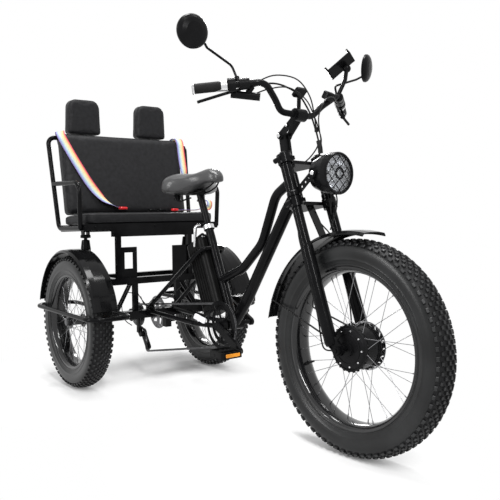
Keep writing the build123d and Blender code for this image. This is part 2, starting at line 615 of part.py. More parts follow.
def headlight_bracket():
    """Two perforated straps from the lower sleeves to the lamp's sides."""
    outline = make_hull((Pos(92, 545) * Circle(13) + Pos(165, 572) * Circle(12)).edges())
    for x, z in ((104, 549), (124, 557), (144, 564)):
        outline -= Pos(x, z) * Circle(4)
    plate = extrude(outline, 1.5, both=True)
    return STEER * both_sides(Pos(0, 72.5, 0) * Rot(90, 0, 0) * plate) - fork_legs()


def shifter():
    """Gear shifter pod hung below the right grip's inner end, in the steering frame."""
    return mirrored(rod((63, 250, 889), (121, 180, 856), 26) + rod((93, 215, 870), (118, 200, 893), 18))


def bar_controls():
    """Throttle, switch pods, display and phone holder, on the steering's handlebar."""
    throttle = mirrored(rod(along_grip(114.5), along_grip(140), 46))
    switch = rod(along_grip(116), along_grip(136), 40) + rod((40, 322, 896), (60, 296, 872), 20)
    plate = Pos(136, 0, 890) * Rot(0, -22, 0) * block((38, 50, 9), (0, 0, 0), 7)
    foot = rod((112, 0, 836), (132, 0, 886), 14)
    clamp = rod((147, 190, 893), (133, 208, 896), 34)
    arm = bent([(140, 199, 905), (165, 232, 960), (167, 256, 1008)], 15, [25])
    knuckle = Pos(167, 258, 1010) * Sphere(15)
    cradle = Plane(origin=(158, 240, 1024), x_dir=(97, 60, 52), z_dir=(-0.45, 0, 0.9))
    holder = cradle * (Box(104, 58, 5) + Pos(50, 0, 8) * Box(7, 58, 22) + Pos(-50, 0, 8) * Box(7, 58, 22))
    solids = throttle + switch + shifter() + plate + foot + clamp + arm + knuckle + holder
    solids -= both_sides(bar_half()) + steering_across(22.2, 46, BAR_CLAMP)
    return STEER * solids - brake_levers() - grips()


def front_caliper():
    """Brake caliper outside the front disc, bolted to the left fork leg."""
    body = Pos(80, 0, 0) * Box(42, 22, 44) - Pos(60, 0, 0) * Cylinder(12, 30)
    bridge = Pos(94, -17, 0) * Box(14, 14, 36)
    caliper = Pos(FORK_OFFSET, 65, 0) * Rot(0, -134, 0) * (body + bridge)
    return STEER * caliper - fork_legs()


def cable(points, diameter):
    """Round cable in the steering frame, every corner rounded as far as its two runs allow."""
    points = [Vector(*point) for point in points]
    radii = []
    for before, corner, after in zip(points, points[1:], points[2:]):
        half_turn = radians((corner - before).get_angle(after - corner)) / 2
        radii.append(0.45 * min((corner - before).length, (after - corner).length) / tan(half_turn))
    return bent(points, diameter, radii)


def cables():
    """Wiring from the shifter to the lamp, the motor's lead and the front brake's cable."""
    bowl = LAMP * revolve(make_face(Plane.XZ * Polyline(*LAMP_OUTSIDE, (0, 18), close=True)), Axis.Z)
    wiring = cable([(97, -206, 878), (106, -186, 904), (150, -120, 905), (176, -50, 860), (168, -10, 790),
                    (163, 0, 731), (161, 0, 672), (136, 0, 620)], 6) - shifter()
    motor_lead = cable([(18, -30, 503), (26, -50, 455), (41, -82, 400), (42, -84, 260), (41, -85, 120),
                        (42, -98, 48), (50, -106, 12),
                        (88, -97, 2)], 5)
    brake_cable = cable([(18, 30, 503), (26, 50, 455), (41, 82, 400), (42, 84, 260), (40, 83, 150), (36, 65, 70)], 5)
    return STEER * (wiring + motor_lead + brake_cable) - bowl - front_axle() - front_caliper() - \
        fork_crowns()


# ---------------------------------------------------------------- drive
def pedal_centre(side):
    angle = radians(CRANK_ANGLE + (180 if side > 0 else 0))
    return Vector(CRANK_X + CRANK_LENGTH * cos(angle), side * 92, CRANK_Z + CRANK_LENGTH * sin(angle))


def crankset():
    """Crank axle, arms and chainring with its guard."""
    axle = across(9, 176, CRANK_X, 0, CRANK_Z)
    ring_r = RING_TEETH * CHAIN_PITCH / (2 * pi) - CHAIN_HEIGHT / 2 - 5
    ring = across(ring_r, 3, CRANK_X, CHAIN_Y, CRANK_Z, bore=60)
    guard = across(96, 2, CRANK_X, CHAIN_Y - 11, CRANK_Z, bore=81)
    spider = across(30, 20, CRANK_X, CHAIN_Y - 6, CRANK_Z)
    for i in range(5):
        angle = radians(72 * i + CRANK_ANGLE)
        spider += rod((CRANK_X, CHAIN_Y, CRANK_Z), (CRANK_X + 66 * cos(angle), CHAIN_Y, CRANK_Z + 66 * sin(angle)), 9)
        spider += rod((CRANK_X, CHAIN_Y - 11.5, CRANK_Z),
                      (CRANK_X + 86 * cos(angle), CHAIN_Y - 11.5, CRANK_Z + 86 * sin(angle)), 4)
    arms = []
    for side in (-1, 1):
        end = pedal_centre(side)
        way = Vector(end.X - CRANK_X, 0, end.Z - CRANK_Z)
        taper = make_hull((Circle(15) + Pos(CRANK_LENGTH, 0) * Circle(12)).edges())
        place = Plane(origin=(CRANK_X, side * 84, CRANK_Z), x_dir=way, z_dir=(0, -1, 0))
        arms += [place * extrude(taper, 6, both=True), across(PEDAL_SPINDLE_D / 2, 110, end.X, side * 140, end.Z)]
    return axle + ring + guard + spider + arms


def pedal(side):
    """Platform pedal: frame with grip ribs round a barrel on the spindle."""
    centre = pedal_centre(side)
    body = block((92, 92, 24), (0, 0, 0), 12) - block((30, 70, 30), (28, 0, 0), 4) - block((30, 70, 30), (-28, 0, 0), 4)
    for y in (-23, 0, 23):
        body += Pos(28, y, 0) * Box(32, 5, 16) + Pos(-28, y, 0) * Box(32, 5, 16)
    body = Pos(centre.X, side * 150, centre.Z) * body
    return body - across(PEDAL_SPINDLE_D / 2 + 0.1, 120, centre.X, side * 146, centre.Z)


def loop_round(wheels):
    """Closed line drawn tight round wheels (x, z, radius), a negative radius where it passes on the other side."""
    headings = []
    for (x0, z0, r0), (x1, z1, r1) in zip(wheels, wheels[1:] + wheels[:1]):
        run = hypot(x1 - x0, z1 - z0)
        headings.append(atan2(z1 - z0, x1 - x0) - asin((r1 - r0) / run))

    def touch(x, z, r, heading):
        return (x + r * sin(heading), z - r * cos(heading))

    line = []
    for i, (x, z, r) in enumerate(wheels):
        arriving, leaving = headings[i - 1], headings[i]
        side = 1 if r > 0 else -1
        middle = arriving + side * ((side * (leaving - arriving)) % (2 * pi)) / 2
        line.append(ThreePointArc(touch(x, z, r, arriving), touch(x, z, r, middle), touch(x, z, r, leaving)))
        x1, z1, r1 = wheels[(i + 1) % len(wheels)]
        line.append(Line(touch(x, z, r, leaving), touch(x1, z1, r1, leaving)))
    return Wire(line)


def chain():
    """Closed chain round the chainring, a sprocket and both jockey wheels: two rows of plates and their rollers."""
    ring_r, cog_r = (teeth * CHAIN_PITCH / (2 * pi) for teeth in (RING_TEETH, COG_TEETH))
    wheels = [(CRANK_X, CRANK_Z, ring_r), (0, REAR_TYRE_R, cog_r), (*GUIDE_WHEEL, -JOCKEY_R), (*TENSION_WHEEL, JOCKEY_R)]
    edge = CHAIN_HEIGHT / 2
    band = make_face(loop_round([(x, z, r + edge) for x, z, r in wheels])) - \
        make_face(loop_round([(x, z, r - edge) for x, z, r in wheels]))
    plates = Pos(0, 0, 2.8) * extrude(band, 1.4) + Pos(0, 0, -4.2) * extrude(band, 1.4)
    centre = loop_round(wheels)
    rollers = []
    count = round(centre.length / CHAIN_PITCH / 2)
    for i in range(count):
        rollers.append(Pos(centre.position_at(i / count)) * Box(5, 5, 7))
    return Pos(0, CHAIN_Y, 0) * Rot(90, 0, 0) * (plates + rollers)


def derailleur():
    """Hanger, knuckle, cage plates and two jockey wheels."""
    hanger = block((18, 8, 86), (50, -76, 263))
    (gx, gz), (tx, tz) = GUIDE_WHEEL, TENSION_WHEEL
    wheel_r = JOCKEY_R - CHAIN_HEIGHT / 2 - 0.5
    outline = make_hull((Pos(gx, gz) * Circle(11) + Pos(tx, tz) * Circle(11)).edges())
    cage = None
    for y in (CHAIN_Y - 8, CHAIN_Y + 8):
        plate = Pos(0, y, 0) * Rot(90, 0, 0) * extrude(outline, 1, both=True)
        cage = plate if cage is None else cage + plate
    for x, z in (GUIDE_WHEEL, TENSION_WHEEL):
        cage += across(wheel_r, 4, x, CHAIN_Y, z) + across(4, 20, x, CHAIN_Y, z)
    arm = make_hull((Pos(50, 234) * Circle(13) + Pos(gx, gz) * Circle(13)).edges())
    knuckle = Pos(0, -70, 0) * Rot(90, 0, 0) * extrude(arm, 6, both=True)
    return hanger + knuckle + cage


def rear_caliper():
    """Caliper over the rear disc, on a bracket from the frame's bearing plate."""
    body = block((36, 28, 46), (84, 58, 262), 6) - block((60, 14, 60), (70, 58, 262))
    return body + block((24, 28, 36), (86, 82, 280)) + block((12, 30, 46), (98, 58, 262))


# ---------------------------------------------------------------- assembly
NODES = {
    "front_frame": front_frame,
    "rear_frame": rear_frame,
    "side_bars": side_bars,
    "stub_axle": stub_axle,
    "battery": battery,
    "seat_post": seat_post,
    "saddle": saddle,
    "bench_mounts": bench_mounts,
    "bench_frame": bench_frame,
    "seat_cushion": seat_cushion,
    "back_cushion": back_cushion,
    "headrests": headrests,
    "fender_rear_right": lambda: rear_fender(-1),
    "fender_rear_left": lambda: rear_fender(1),
    "chain": chain,
    "derailleur": derailleur,
    "rear_caliper": rear_caliper,
    "fork_crowns": fork_crowns,
    "fork_legs": fork_legs,
    "front_axle": front_axle,
    "front_fender": front_fender,
    "stem": stem,
    "handlebar": handlebar,
    "grips": grips,
    "brake_levers": brake_levers,
    "mirror_right": lambda: bar_mirror(-1, (142, 423, 1039), (0.91, 0.16, -0.40)),
    "mirror_left": lambda: bar_mirror(1, (142, 411, 1052), (0.81, 0.43, -0.41)),
    "headlight": headlight,
    "headlight_lens": headlight_lens,
    "bar_controls": bar_controls,
    "cables": cables,
    "front_caliper": front_caliper,
    "headlight_bracket": headlight_bracket,
    "front_tyre": front_tyre,
    "front_rim": front_rim,
    "hub_motor": hub_motor,
    "front_rotor": front_rotor,
    "tyre_rear_right": lambda: rear_tyre(-1),
    "wheel_rear_right": lambda: rear_wheel(-1),
    "rear_axle": rear_axle,
    "tyre_rear_left": lambda: rear_tyre(1),
    "wheel_rear_left": lambda: rear_wheel(1),
    "crankset": crankset,
    "pedal_right": lambda: pedal(-1),
    "pedal_left": lambda: pedal(1),
}

STEERED = ("fork_crowns", "fork_legs", "front_axle", "front_fender", "stem", "handlebar", "grips", "brake_levers",
           "mirror_right", "mirror_left", "headlight", "headlight_lens", "headlight_bracket", "bar_controls",
           "cables", "front_caliper", "front_tyre", "front_rim", "hub_motor", "front_rotor")

os.makedirs("parts", exist_ok=True)
for name, build in NODES.items():
    solid = TURNED * build() if name in STEERED else build()
    export_step(solid.moved(ORIGIN_SHIFT), f"parts/{name}.step")
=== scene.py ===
"""Looks of the electric fat tire tricycle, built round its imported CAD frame.

Sizes are in millimetres, drawn from the point on the ground under the middle of the rear axle
(+X forward, +Y left, +Z up) by at(), or from the foot of the steering axis by steer(); both give
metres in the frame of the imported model.
"""
import json
import math

import bmesh
import bpy
from mathutils import Matrix, Vector, noise


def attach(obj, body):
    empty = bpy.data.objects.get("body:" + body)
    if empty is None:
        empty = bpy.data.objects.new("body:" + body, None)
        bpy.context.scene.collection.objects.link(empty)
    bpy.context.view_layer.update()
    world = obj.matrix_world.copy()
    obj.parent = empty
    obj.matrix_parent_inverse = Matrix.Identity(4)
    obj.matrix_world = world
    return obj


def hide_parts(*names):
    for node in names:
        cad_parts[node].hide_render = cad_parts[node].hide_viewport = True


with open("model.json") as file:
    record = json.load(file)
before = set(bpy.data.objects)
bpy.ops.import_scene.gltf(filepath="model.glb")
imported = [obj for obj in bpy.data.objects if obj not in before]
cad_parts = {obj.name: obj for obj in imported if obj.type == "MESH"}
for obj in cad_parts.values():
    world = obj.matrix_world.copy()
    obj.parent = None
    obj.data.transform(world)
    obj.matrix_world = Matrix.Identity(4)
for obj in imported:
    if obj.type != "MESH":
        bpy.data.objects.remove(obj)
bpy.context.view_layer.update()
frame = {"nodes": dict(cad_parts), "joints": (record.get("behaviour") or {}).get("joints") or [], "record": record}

MM = 0.001
JOINTS = {j["name"]: j for j in frame["joints"]}
REAR_AXLE = Vector(JOINTS["rear_right_wheel_spin"]["pos_m"])
FRONT_HUB = Vector(JOINTS["front_wheel_spin"]["pos_m"])
LEFT_OF_FORK = Vector(JOINTS["front_wheel_spin"]["axis"])
STEER_AXIS = Vector(JOINTS["steering"]["axis"])
STEER_FOOT = Vector(JOINTS["steering"]["pos_m"])

# driving sizes, as in the CAD model
REAR_TYRE_R = 298
FRONT_TYRE_R = 350
REAR_BEAD_R = 209
FRONT_BEAD_R = 261
TYRE_W = 98
TRACK = 718
WHEELBASE = 1382
LOOP_SIDE = 354    # side bolts of the bench, from its middle

GROUND = Vector((REAR_AXLE.x, 0, REAR_AXLE.z - REAR_TYRE_R * MM))
STEER = Matrix((
    (*LEFT_OF_FORK.cross(STEER_AXIS), 0), (*LEFT_OF_FORK, 0), (*STEER_AXIS, 0), (0, 0, 0, 1))).transposed()
STEER.translation = STEER_FOOT


def at(x, y, z):
    """Point given from the ground under the rear axle."""
    return GROUND + Vector((x, y, z)) * MM


def steer(x, y, z):
    """Point given forward, left and up along the steering axis."""
    return STEER @ (Vector((x, y, z)) * MM)


# ---------------------------------------------------------------- camera, floor and light
CAMERA_AT = at(2883.1, -1560.9, 794.3)
CAMERA_YAW, CAMERA_PITCH, CAMERA_ROLL = 142.8, -3.43, -0.44
CAMERA_LENS = 48.52


def make_camera():
    yaw, pitch, roll = (math.radians(v) for v in (CAMERA_YAW, CAMERA_PITCH, CAMERA_ROLL))
    ahead = Vector((math.cos(pitch) * math.cos(yaw), math.cos(pitch) * math.sin(yaw), math.sin(pitch)))
    level = ahead.cross(Vector((0, 0, 1))).normalized()
    above = level.cross(ahead)
    right = level * math.cos(roll) + above * math.sin(roll)
    up = above * math.cos(roll) - level * math.sin(roll)
    camera = bpy.data.objects.new("camera", bpy.data.cameras.new("camera"))
    camera.data.lens = CAMERA_LENS
    camera.data.clip_end = 60
    turn = Matrix((right, up, -ahead)).transposed().to_4x4()
    turn.translation = CAMERA_AT
    camera.matrix_world = turn
    bpy.context.scene.collection.objects.link(camera)
    bpy.context.scene.camera = camera


def area_light(name, place, target, size, power):
    light = bpy.data.lights.new(name, "AREA")
    light.shape = "RECTANGLE"
    light.size, light.size_y = size
    light.energy = power
    lamp = bpy.data.objects.new(name, light)
    lamp.location = place
    lamp.rotation_euler = (Vector(target) - Vector(place)).to_track_quat("-Z", "Y").to_euler()
    bpy.context.scene.collection.objects.link(lamp)


def seen_as_white(tree, shader, strength, share=None):
    """Mix a shader with plain white for the rays that show the background, by a share if one is given."""
    path = tree.nodes.new("ShaderNodeLightPath")
    glow = tree.nodes.new("ShaderNodeEmission")
    glow.inputs["Strength"].default_value = strength
    shown = path.outputs["Is Camera Ray"]
    for kind in ("Is Glossy Ray", "Is Transmission Ray"):
        either = tree.nodes.new("ShaderNodeMath")
        either.operation = "MAXIMUM"
        tree.links.new(shown, either.inputs[0])
        tree.links.new(path.outputs[kind], either.inputs[1])
        shown = either.outputs[0]
    if share:
        part = tree.nodes.new("ShaderNodeMath")
        part.operation = "MULTIPLY"
        tree.links.new(shown, part.inputs[0])
        tree.links.new(share, part.inputs[1])
        shown = part.outputs[0]
    mix = tree.nodes.new("ShaderNodeMixShader")
    tree.links.new(shown, mix.inputs[0])
    tree.links.new(shader, mix.inputs[1])
    tree.links.new(glow.outputs[0], mix.inputs[2])
    return mix.outputs[0]


def make_studio():
    scene = bpy.context.scene
    scene.view_settings.view_transform = "Standard"
    world = bpy.data.worlds.new("studio")
    scene.world = world
    world.use_nodes = True
    tree = world.node_tree
    tree.nodes.clear()
    fill = tree.nodes.new("ShaderNodeBackground")
    fill.inputs["Color"].default_value = (1, 1, 1, 1)
    fill.inputs["Strength"].default_value = 0.5
    out = tree.nodes.new("ShaderNodeOutputWorld")
    tree.links.new(seen_as_white(tree, fill.outputs[0], 1.0), out.inputs["Surface"])

    mesh = bpy.data.meshes.new("floor")
    reach = 14
    mesh.from_pydata([(-reach, -reach, 0), (reach, -reach, 0), (reach, reach, 0), (-reach, reach, 0)],
                     [], [(0, 1, 2, 3)])
    floor = bpy.data.objects.new("floor", mesh)
    scene.collection.objects.link(floor)
    paint = bpy.data.materials.new("floor_paper")
    paint.use_nodes = True
    tree = paint.node_tree
    tree.nodes.clear()
    matt = tree.nodes.new("ShaderNodeBsdfDiffuse")
    matt.inputs["Color"].default_value = (0.9, 0.9, 0.9, 1)
    share = None
    for spot in (at(WHEELBASE, 0, 0), at(0, TRACK / 2, 0), at(0, -TRACK / 2, 0)):
        place = tree.nodes.new("ShaderNodeTexCoord")
        far = tree.nodes.new("ShaderNodeVectorMath")
        far.operation = "DISTANCE"
        tree.links.new(place.outputs["Object"], far.inputs[0])
        far.inputs[1].default_value = (spot.x - 0.14, spot.y - 0.17, 0)
        near = tree.nodes.new("ShaderNodeMapRange")
        near.interpolation_type = "SMOOTHSTEP"
        for name, value in (("From Min", 0.16), ("From Max", 0.60), ("To Min", 0.0), ("To Max", 1.0)):
            near.inputs[name].default_value = value
        tree.links.new(far.outputs["Value"], near.inputs["Value"])
        least = tree.nodes.new("ShaderNodeMath")
        least.operation = "MINIMUM"
        least.inputs[1].default_value = 1
        tree.links.new(near.outputs["Result"], least.inputs[0])
        if share:
            tree.links.new(share, least.inputs[1])
        share = least.outputs[0]
    out = tree.nodes.new("ShaderNodeOutputMaterial")
    tree.links.new(seen_as_white(tree, matt.outputs[0], 1.0, share), out.inputs["Surface"])
    mesh.materials.append(paint)

    area_light("key", (3.2, -1.4, 3.4), (0.1, 0, 0.6), (0.24, 2.4), 120)
    area_light("side", (-0.8, -4.2, 2.2), (0, 0, 0.6), (0.22, 2.6), 90)
    area_light("top", (-0.2, 0.2, 4.0), (0, 0, 0.3), (2.6, 0.7), 130)
    area_light("back", (-3.6, 2.8, 2.6), (-0.2, 0, 0.6), (0.4, 2.2), 70)


make_camera()
make_studio()


# ---------------------------------------------------------------- materials
def new_material(name):
    """Material with a Principled shader; returns it with its tree and shader."""
    material = bpy.data.materials.new(name)
    material.use_nodes = True
    tree = material.node_tree
    return material, tree, tree.nodes["Principled BSDF"]


def link(tree, start, end):
    tree.links.new(start, end)


def noise_node(tree, scale, detail=4, kind="ShaderNodeTexNoise"):
    where = tree.nodes.new("ShaderNodeTexCoord")
    texture = tree.nodes.new(kind)
    texture.inputs["Scale"].default_value = scale
    if "Detail" in texture.inputs:
        texture.inputs["Detail"].default_value = detail
    link(tree, where.outputs["Object"], texture.inputs["Vector"])
    return texture


def ramp(tree, source, stops):
    """Colour ramp over a 0 to 1 value; stops are (place, grey or colour)."""
    node = tree.nodes.new("ShaderNodeValToRGB")
    band = node.color_ramp
    while len(band.elements) < len(stops):
        band.elements.new(0.5)
    for element, (place, colour) in zip(band.elements, stops):
        element.position = place
        element.color = (*colour, 1) if hasattr(colour, "__len__") else (colour, colour, colour, 1)
    link(tree, source, node.inputs["Fac"])
    return node.outputs["Color"]


def bump(tree, shader, source, strength, distance):
    node = tree.nodes.new("ShaderNodeBump")
    node.inputs["Strength"].default_value = strength
    node.inputs["Distance"].default_value = distance
    link(tree, source, node.inputs["Height"])
    link(tree, node.outputs["Normal"], shader.inputs["Normal"])


def painted(name, colour, roughness, coat=0.0, specular=0.07, speck=0.0015, grain=900):
    """Painted or moulded finish: faint uneven gloss and dust-fine orange peel."""
    material, tree, shader = new_material(name)
    patches = noise_node(tree, 14, 6)
    low = tuple(c * 0.82 for c in colour)
    high = tuple(min(1, c * 1.25 + 0.002) for c in colour)
    link(tree, ramp(tree, patches.outputs["Fac"], [(0.3, low), (0.7, high)]), shader.inputs["Base Color"])
    gloss = noise_node(tree, 38, 5)
    link(tree, ramp(tree, gloss.outputs["Fac"],
                    [(0.25, max(0.02, roughness - 0.05)), (0.75, roughness + 0.06)]),
         shader.inputs["Roughness"])
    shader.inputs["Specular IOR Level"].default_value = specular
    shader.inputs["Coat Weight"].default_value = coat
    shader.inputs["Coat Roughness"].default_value = 0.06
    peel = noise_node(tree, grain, 3)
    bump(tree, shader, peel.outputs["Fac"], 0.12, speck * 0.1)
    return material


def brushed(name, colour, roughness, scale=(4, 220, 4)):
    """Bare metal with fine directional brushing."""
    material, tree, shader = new_material(name)
    where = tree.nodes.new("ShaderNodeTexCoord")
    stretch = tree.nodes.new("ShaderNodeMapping")
    stretch.inputs["Scale"].default_value = scale
    lines = tree.nodes.new("ShaderNodeTexNoise")
    lines.inputs["Scale"].default_value = 6
    lines.inputs["Detail"].default_value = 6
    link(tree, where.outputs["Object"], stretch.inputs["Vector"])
    link(tree, stretch.outputs["Vector"], lines.inputs["Vector"])
    dark = tuple(c * 0.7 for c in colour)
    link(tree, ramp(tree, lines.outputs["Fac"], [(0.3, dark), (0.7, colour)]), shader.inputs["Base Color"])
    link(tree, ramp(tree, lines.outputs["Fac"], [(0.3, roughness), (0.7, roughness + 0.15)]),
         shader.inputs["Roughness"])
    shader.inputs["Metallic"].default_value = 1
    bump(tree, shader, lines.outputs["Fac"], 0.15, 0.0002)
    return material


def rubber(name, colour, roughness=0.72, specular=0.2):
    """Tyre or grip rubber: matt, slightly dusty, with a fine moulded grain."""
    material, tree, shader = new_material(name)
    dust = noise_node(tree, 9, 8)
    link(tree, ramp(tree, dust.outputs["Fac"], [(0.35, tuple(c * 0.75 for c in colour)),
                                                (0.75, tuple(c * 1.5 + 0.004 for c in colour))]),
         shader.inputs["Base Color"])
    shader.inputs["Roughness"].default_value = roughness
    shader.inputs["Specular IOR Level"].default_value = specular
    grain = noise_node(tree, 700, 2)
    bump(tree, shader, grain.outputs["Fac"], 0.25, 0.0004)
    return material


def upholstery(name, colour):
    """Dark bench fabric: very fine irregular threads, soft sheen and faint mottling."""
    material, tree, shader = new_material(name)
    mottle = noise_node(tree, 55, 6)
    link(tree, ramp(tree, mottle.outputs["Fac"], [(0.3, tuple(c * 0.75 for c in colour)),
                                                  (0.7, tuple(c * 1.3 for c in colour))]),
         shader.inputs["Base Color"])
    shader.inputs["Roughness"].default_value = 0.5
    shader.inputs["Specular IOR Level"].default_value = 0.14
    shader.inputs["Sheen Weight"].default_value = 0.03
    shader.inputs["Sheen Roughness"].default_value = 0.5
    threads = noise_node(tree, 620, kind="ShaderNodeTexVoronoi")
    bump(tree, shader, threads.outputs["Distance"], 0.15, 0.0004)
    return material


def leather(name, colour, roughness=0.42):
    """Moulded synthetic leather: fine pebble grain over soft gloss."""
    material, tree, shader = new_material(name)
    cells = noise_node(tree, 420, kind="ShaderNodeTexVoronoi")
    tone = noise_node(tree, 30, 5)
    link(tree, ramp(tree, tone.outputs["Fac"], [(0.3, tuple(c * 0.8 for c in colour)),
                                                (0.7, tuple(c * 1.2 for c in colour))]),
         shader.inputs["Base Color"])
    shader.inputs["Roughness"].default_value = roughness
    bump(tree, shader, cells.outputs["Distance"], 0.2, 0.0005)
    return material


def glass(name):
    """Clear lamp glass with faint moulded ripples."""
    material, tree, shader = new_material(name)
    ripples = noise_node(tree, 60, 2)
    link(tree, ramp(tree, ripples.outputs["Fac"], [(0.3, 0.02), (0.7, 0.08)]), shader.inputs["Roughness"])
    shader.inputs["Base Color"].default_value = (0.95, 0.97, 1.0, 1)
    shader.inputs["Transmission Weight"].default_value = 0.9
    shader.inputs["IOR"].default_value = 1.45
    return material


GLOSS_BLACK = painted("gloss_black_paint", (0.003, 0.003, 0.0034), 0.16)
SATIN_BLACK = painted("satin_black", (0.004, 0.004, 0.0044), 0.24)
MATT_BLACK = painted("matt_black_plastic", (0.005, 0.005, 0.005), 0.36, grain=500)
FENDER_BLACK = painted("fender_plastic", (0.003, 0.003, 0.0033), 0.12, specular=0.14)
MOTOR_BLACK = painted("motor_black", (0.006, 0.006, 0.0065), 0.28, grain=400)
DARK_STEEL = brushed("dark_steel", (0.16, 0.16, 0.165), 0.36)
BRIGHT_STEEL = brushed("bright_steel", (0.62, 0.62, 0.63), 0.24)
TYRE_RUBBER = rubber("tyre_rubber", (0.006, 0.0063, 0.0066), 0.30, 0.27)
TREAD_BASE = rubber("tread_base", (0.006, 0.006, 0.0065), 0.5, 0.16)
# lighter rubber for the knob tops and the bevelled knob edges; on the edges the lighter colour is a painted highlight
TREAD_TOP_AND_PAINTED_EDGE_HIGHLIGHT = rubber("tread_top_and_painted_edge_highlight", (0.012, 0.0125, 0.013), 0.42, 0.3)
GRIP_RUBBER = rubber("grip_rubber", (0.008, 0.008, 0.008), 0.6, 0.1)
BENCH_CLOTH = upholstery("bench_cloth", (0.010, 0.010, 0.011))
SADDLE_COVER = leather("saddle_cover", (0.034, 0.034, 0.035), 0.30)
RIM_BLACK = painted("rim_black", (0.005, 0.005, 0.0055), 0.14, specular=0.5)
SPOKE_STEEL = brushed("spoke_steel", (0.30, 0.30, 0.31), 0.3)
CHROME = brushed("chrome", (0.80, 0.80, 0.81), 0.14)
REFLECTOR_AMBER = painted("reflector_amber", (0.80, 0.30, 0.03), 0.2, specular=0.5)
REFLECTOR_CLEAR = painted("reflector_clear", (0.72, 0.72, 0.74), 0.15, specular=0.5)
LED_WHITE = painted("led_white", (0.85, 0.85, 0.80), 0.3, specular=0.5)
CABLE_BLACK = painted("cable_black", (0.010, 0.010, 0.010), 0.4)
LAMP_GLASS = glass("lamp_glass")

FINISH = {
    "frame_paint": GLOSS_BLACK, "fork_paint": GLOSS_BLACK, "black_steel": SATIN_BLACK,
    "battery_case": MATT_BLACK, "saddle_cover": SADDLE_COVER, "bench_fabric": BENCH_CLOTH,
    "fender_plastic": FENDER_BLACK, "chain_steel": DARK_STEEL, "black_parts": SATIN_BLACK,
    "grip_rubber": GRIP_RUBBER, "lamp_shell": SATIN_BLACK, "tyre": TYRE_RUBBER, "rim_paint": SATIN_BLACK,
    "motor_paint": MOTOR_BLACK, "rotor_steel": BRIGHT_STEEL, "axle_steel": DARK_STEEL,
    "pedal_plastic": MATT_BLACK, "lamp_glass": LAMP_GLASS, "cable_cover": CABLE_BLACK,
}


def dress_cad_nodes():
    """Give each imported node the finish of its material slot."""
    for part in frame["record"]["subparts"]:
        mesh = frame["nodes"][part["node"]].data
        mesh.materials.clear()
        mesh.materials.append(FINISH[part["material_slot"]])


dress_cad_nodes()


# ---------------------------------------------------------------- mesh helpers
def piece(name, points, faces, material, body, *stands_for, crease=35):
    """New mesh object that rides on a body and may stand for CAD nodes."""
    mesh = bpy.data.meshes.new(name)
    mesh.from_pydata([tuple(p) for p in points], [], faces)
    mesh.validate()
    mesh.materials.append(material)
    mesh.shade_smooth()
    mesh.set_sharp_from_angle(angle=math.radians(crease))
    item = bpy.data.objects.new(name, mesh)
    bpy.context.scene.collection.objects.link(item)
    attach(item, body)
    if stands_for:
        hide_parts(*stands_for)
    return item


def skin(rings, ends=True, loop=False):
    """Points and faces of a surface over closed rings with equal counts."""
    count = len(rings[0])
    points = [p for ring in rings for p in ring]
    faces = []
    spans = len(rings) if loop else len(rings) - 1
    for i in range(spans):
        low, high = i * count, (i + 1) % len(rings) * count
        for k in range(count):
            nxt = (k + 1) % count
            faces.append((low + k, low + nxt, high + nxt, high + k))
    if ends and not loop:
        faces.append(tuple(reversed(range(count))))
        faces.append(tuple(range(len(points) - count, len(points))))
    return points, faces


def merge(parts):
    """Join several (points, faces) lists into one."""
    points, faces = [], []
    for new_points, new_faces in parts:
        start = len(points)
        points += new_points
        faces += [tuple(i + start for i in face) for face in new_faces]
    return points, faces


def axes(centre, axis, sideways=None):
    """Matrix with its z along an axis, and x near a given direction."""
    z = Vector(axis).normalized()
    hint = Vector(sideways) if sideways else (Vector((0, 0, 1)) if abs(z.z) < 0.9 else Vector((1, 0, 0)))
    y = z.cross(hint).normalized()
    frame_matrix = Matrix((y.cross(z), y, z)).transposed().to_4x4()
    frame_matrix.translation = centre
    return frame_matrix


def lathe(outline, place, steps=96):
    """Turn a closed outline of (radius, height) in millimetres about the z of a matrix."""
    rings = []
    for i in range(steps):
        a = 2 * math.pi * i / steps
        rings.append([place @ (Vector((r * math.cos(a), r * math.sin(a), h)) * MM) for r, h in outline])
    return skin(rings, loop=True)


def smooth_line(points, steps=8):
    """Points of a Catmull-Rom curve through the given ones."""
    points = [Vector(p) for p in points]
    points = [2 * points[0] - points[1]] + points + [2 * points[-1] - points[-2]]
    line = []
    for a, b, c, d in zip(points, points[1:], points[2:], points[3:]):
        for i in range(steps):
            t = i / steps
            line.append(((2 * b) + (c - a) * t + (2 * a - 5 * b + 4 * c - d) * t ** 2 +
                         (3 * b - a - 3 * c + d) * t ** 3) / 2)
    return line + [points[-2]]


def keep_evaluated(item):
    """Replace an object's mesh by what its modifiers make of it."""
    seen = item.evaluated_get(bpy.context.evaluated_depsgraph_get())
    mesh = bpy.data.meshes.new_from_object(seen)
    item.modifiers.clear()
    item.data = mesh


# ---------------------------------------------------------------- padded bench and saddle
BACK_LEAN = math.radians(11)
BACK_T = 70
BACK_HALF = 330
BACK_FRAME = Matrix((
    (math.cos(BACK_LEAN), 0, -math.sin(BACK_LEAN), 0), (0, 1, 0, 0),
    (math.sin(BACK_LEAN), 0, math.cos(BACK_LEAN), 0), (0, 0, 0, 1)))
BACK_FRAME.translation = Vector((-148, 0, 790))


def on_back(x, y, z):
    """Point given out of the back cushion's front face, left, and up the back."""
    return at(*(BACK_FRAME @ Vector((x, y, z))))


def rounded_outline(x0, x1, y0, y1, radii, steps=7):
    """Rounded rectangle; radii are for the corners (+x+y, -x+y, -x-y, +x-y)."""
    corners = [(x1, y1, -1, -1), (x0, y1, 1, -1), (x0, y0, 1, 1), (x1, y0, -1, 1)]
    points = []
    for i, (cx, cy, sx, sy) in enumerate(corners):
        r = max(radii[i], 0.5)
        for k in range(steps + 1):
            a = math.radians(90 * (i + k / steps))
            points.append((cx + sx * r + r * math.cos(a), cy + sy * r + r * math.sin(a)))
    return points


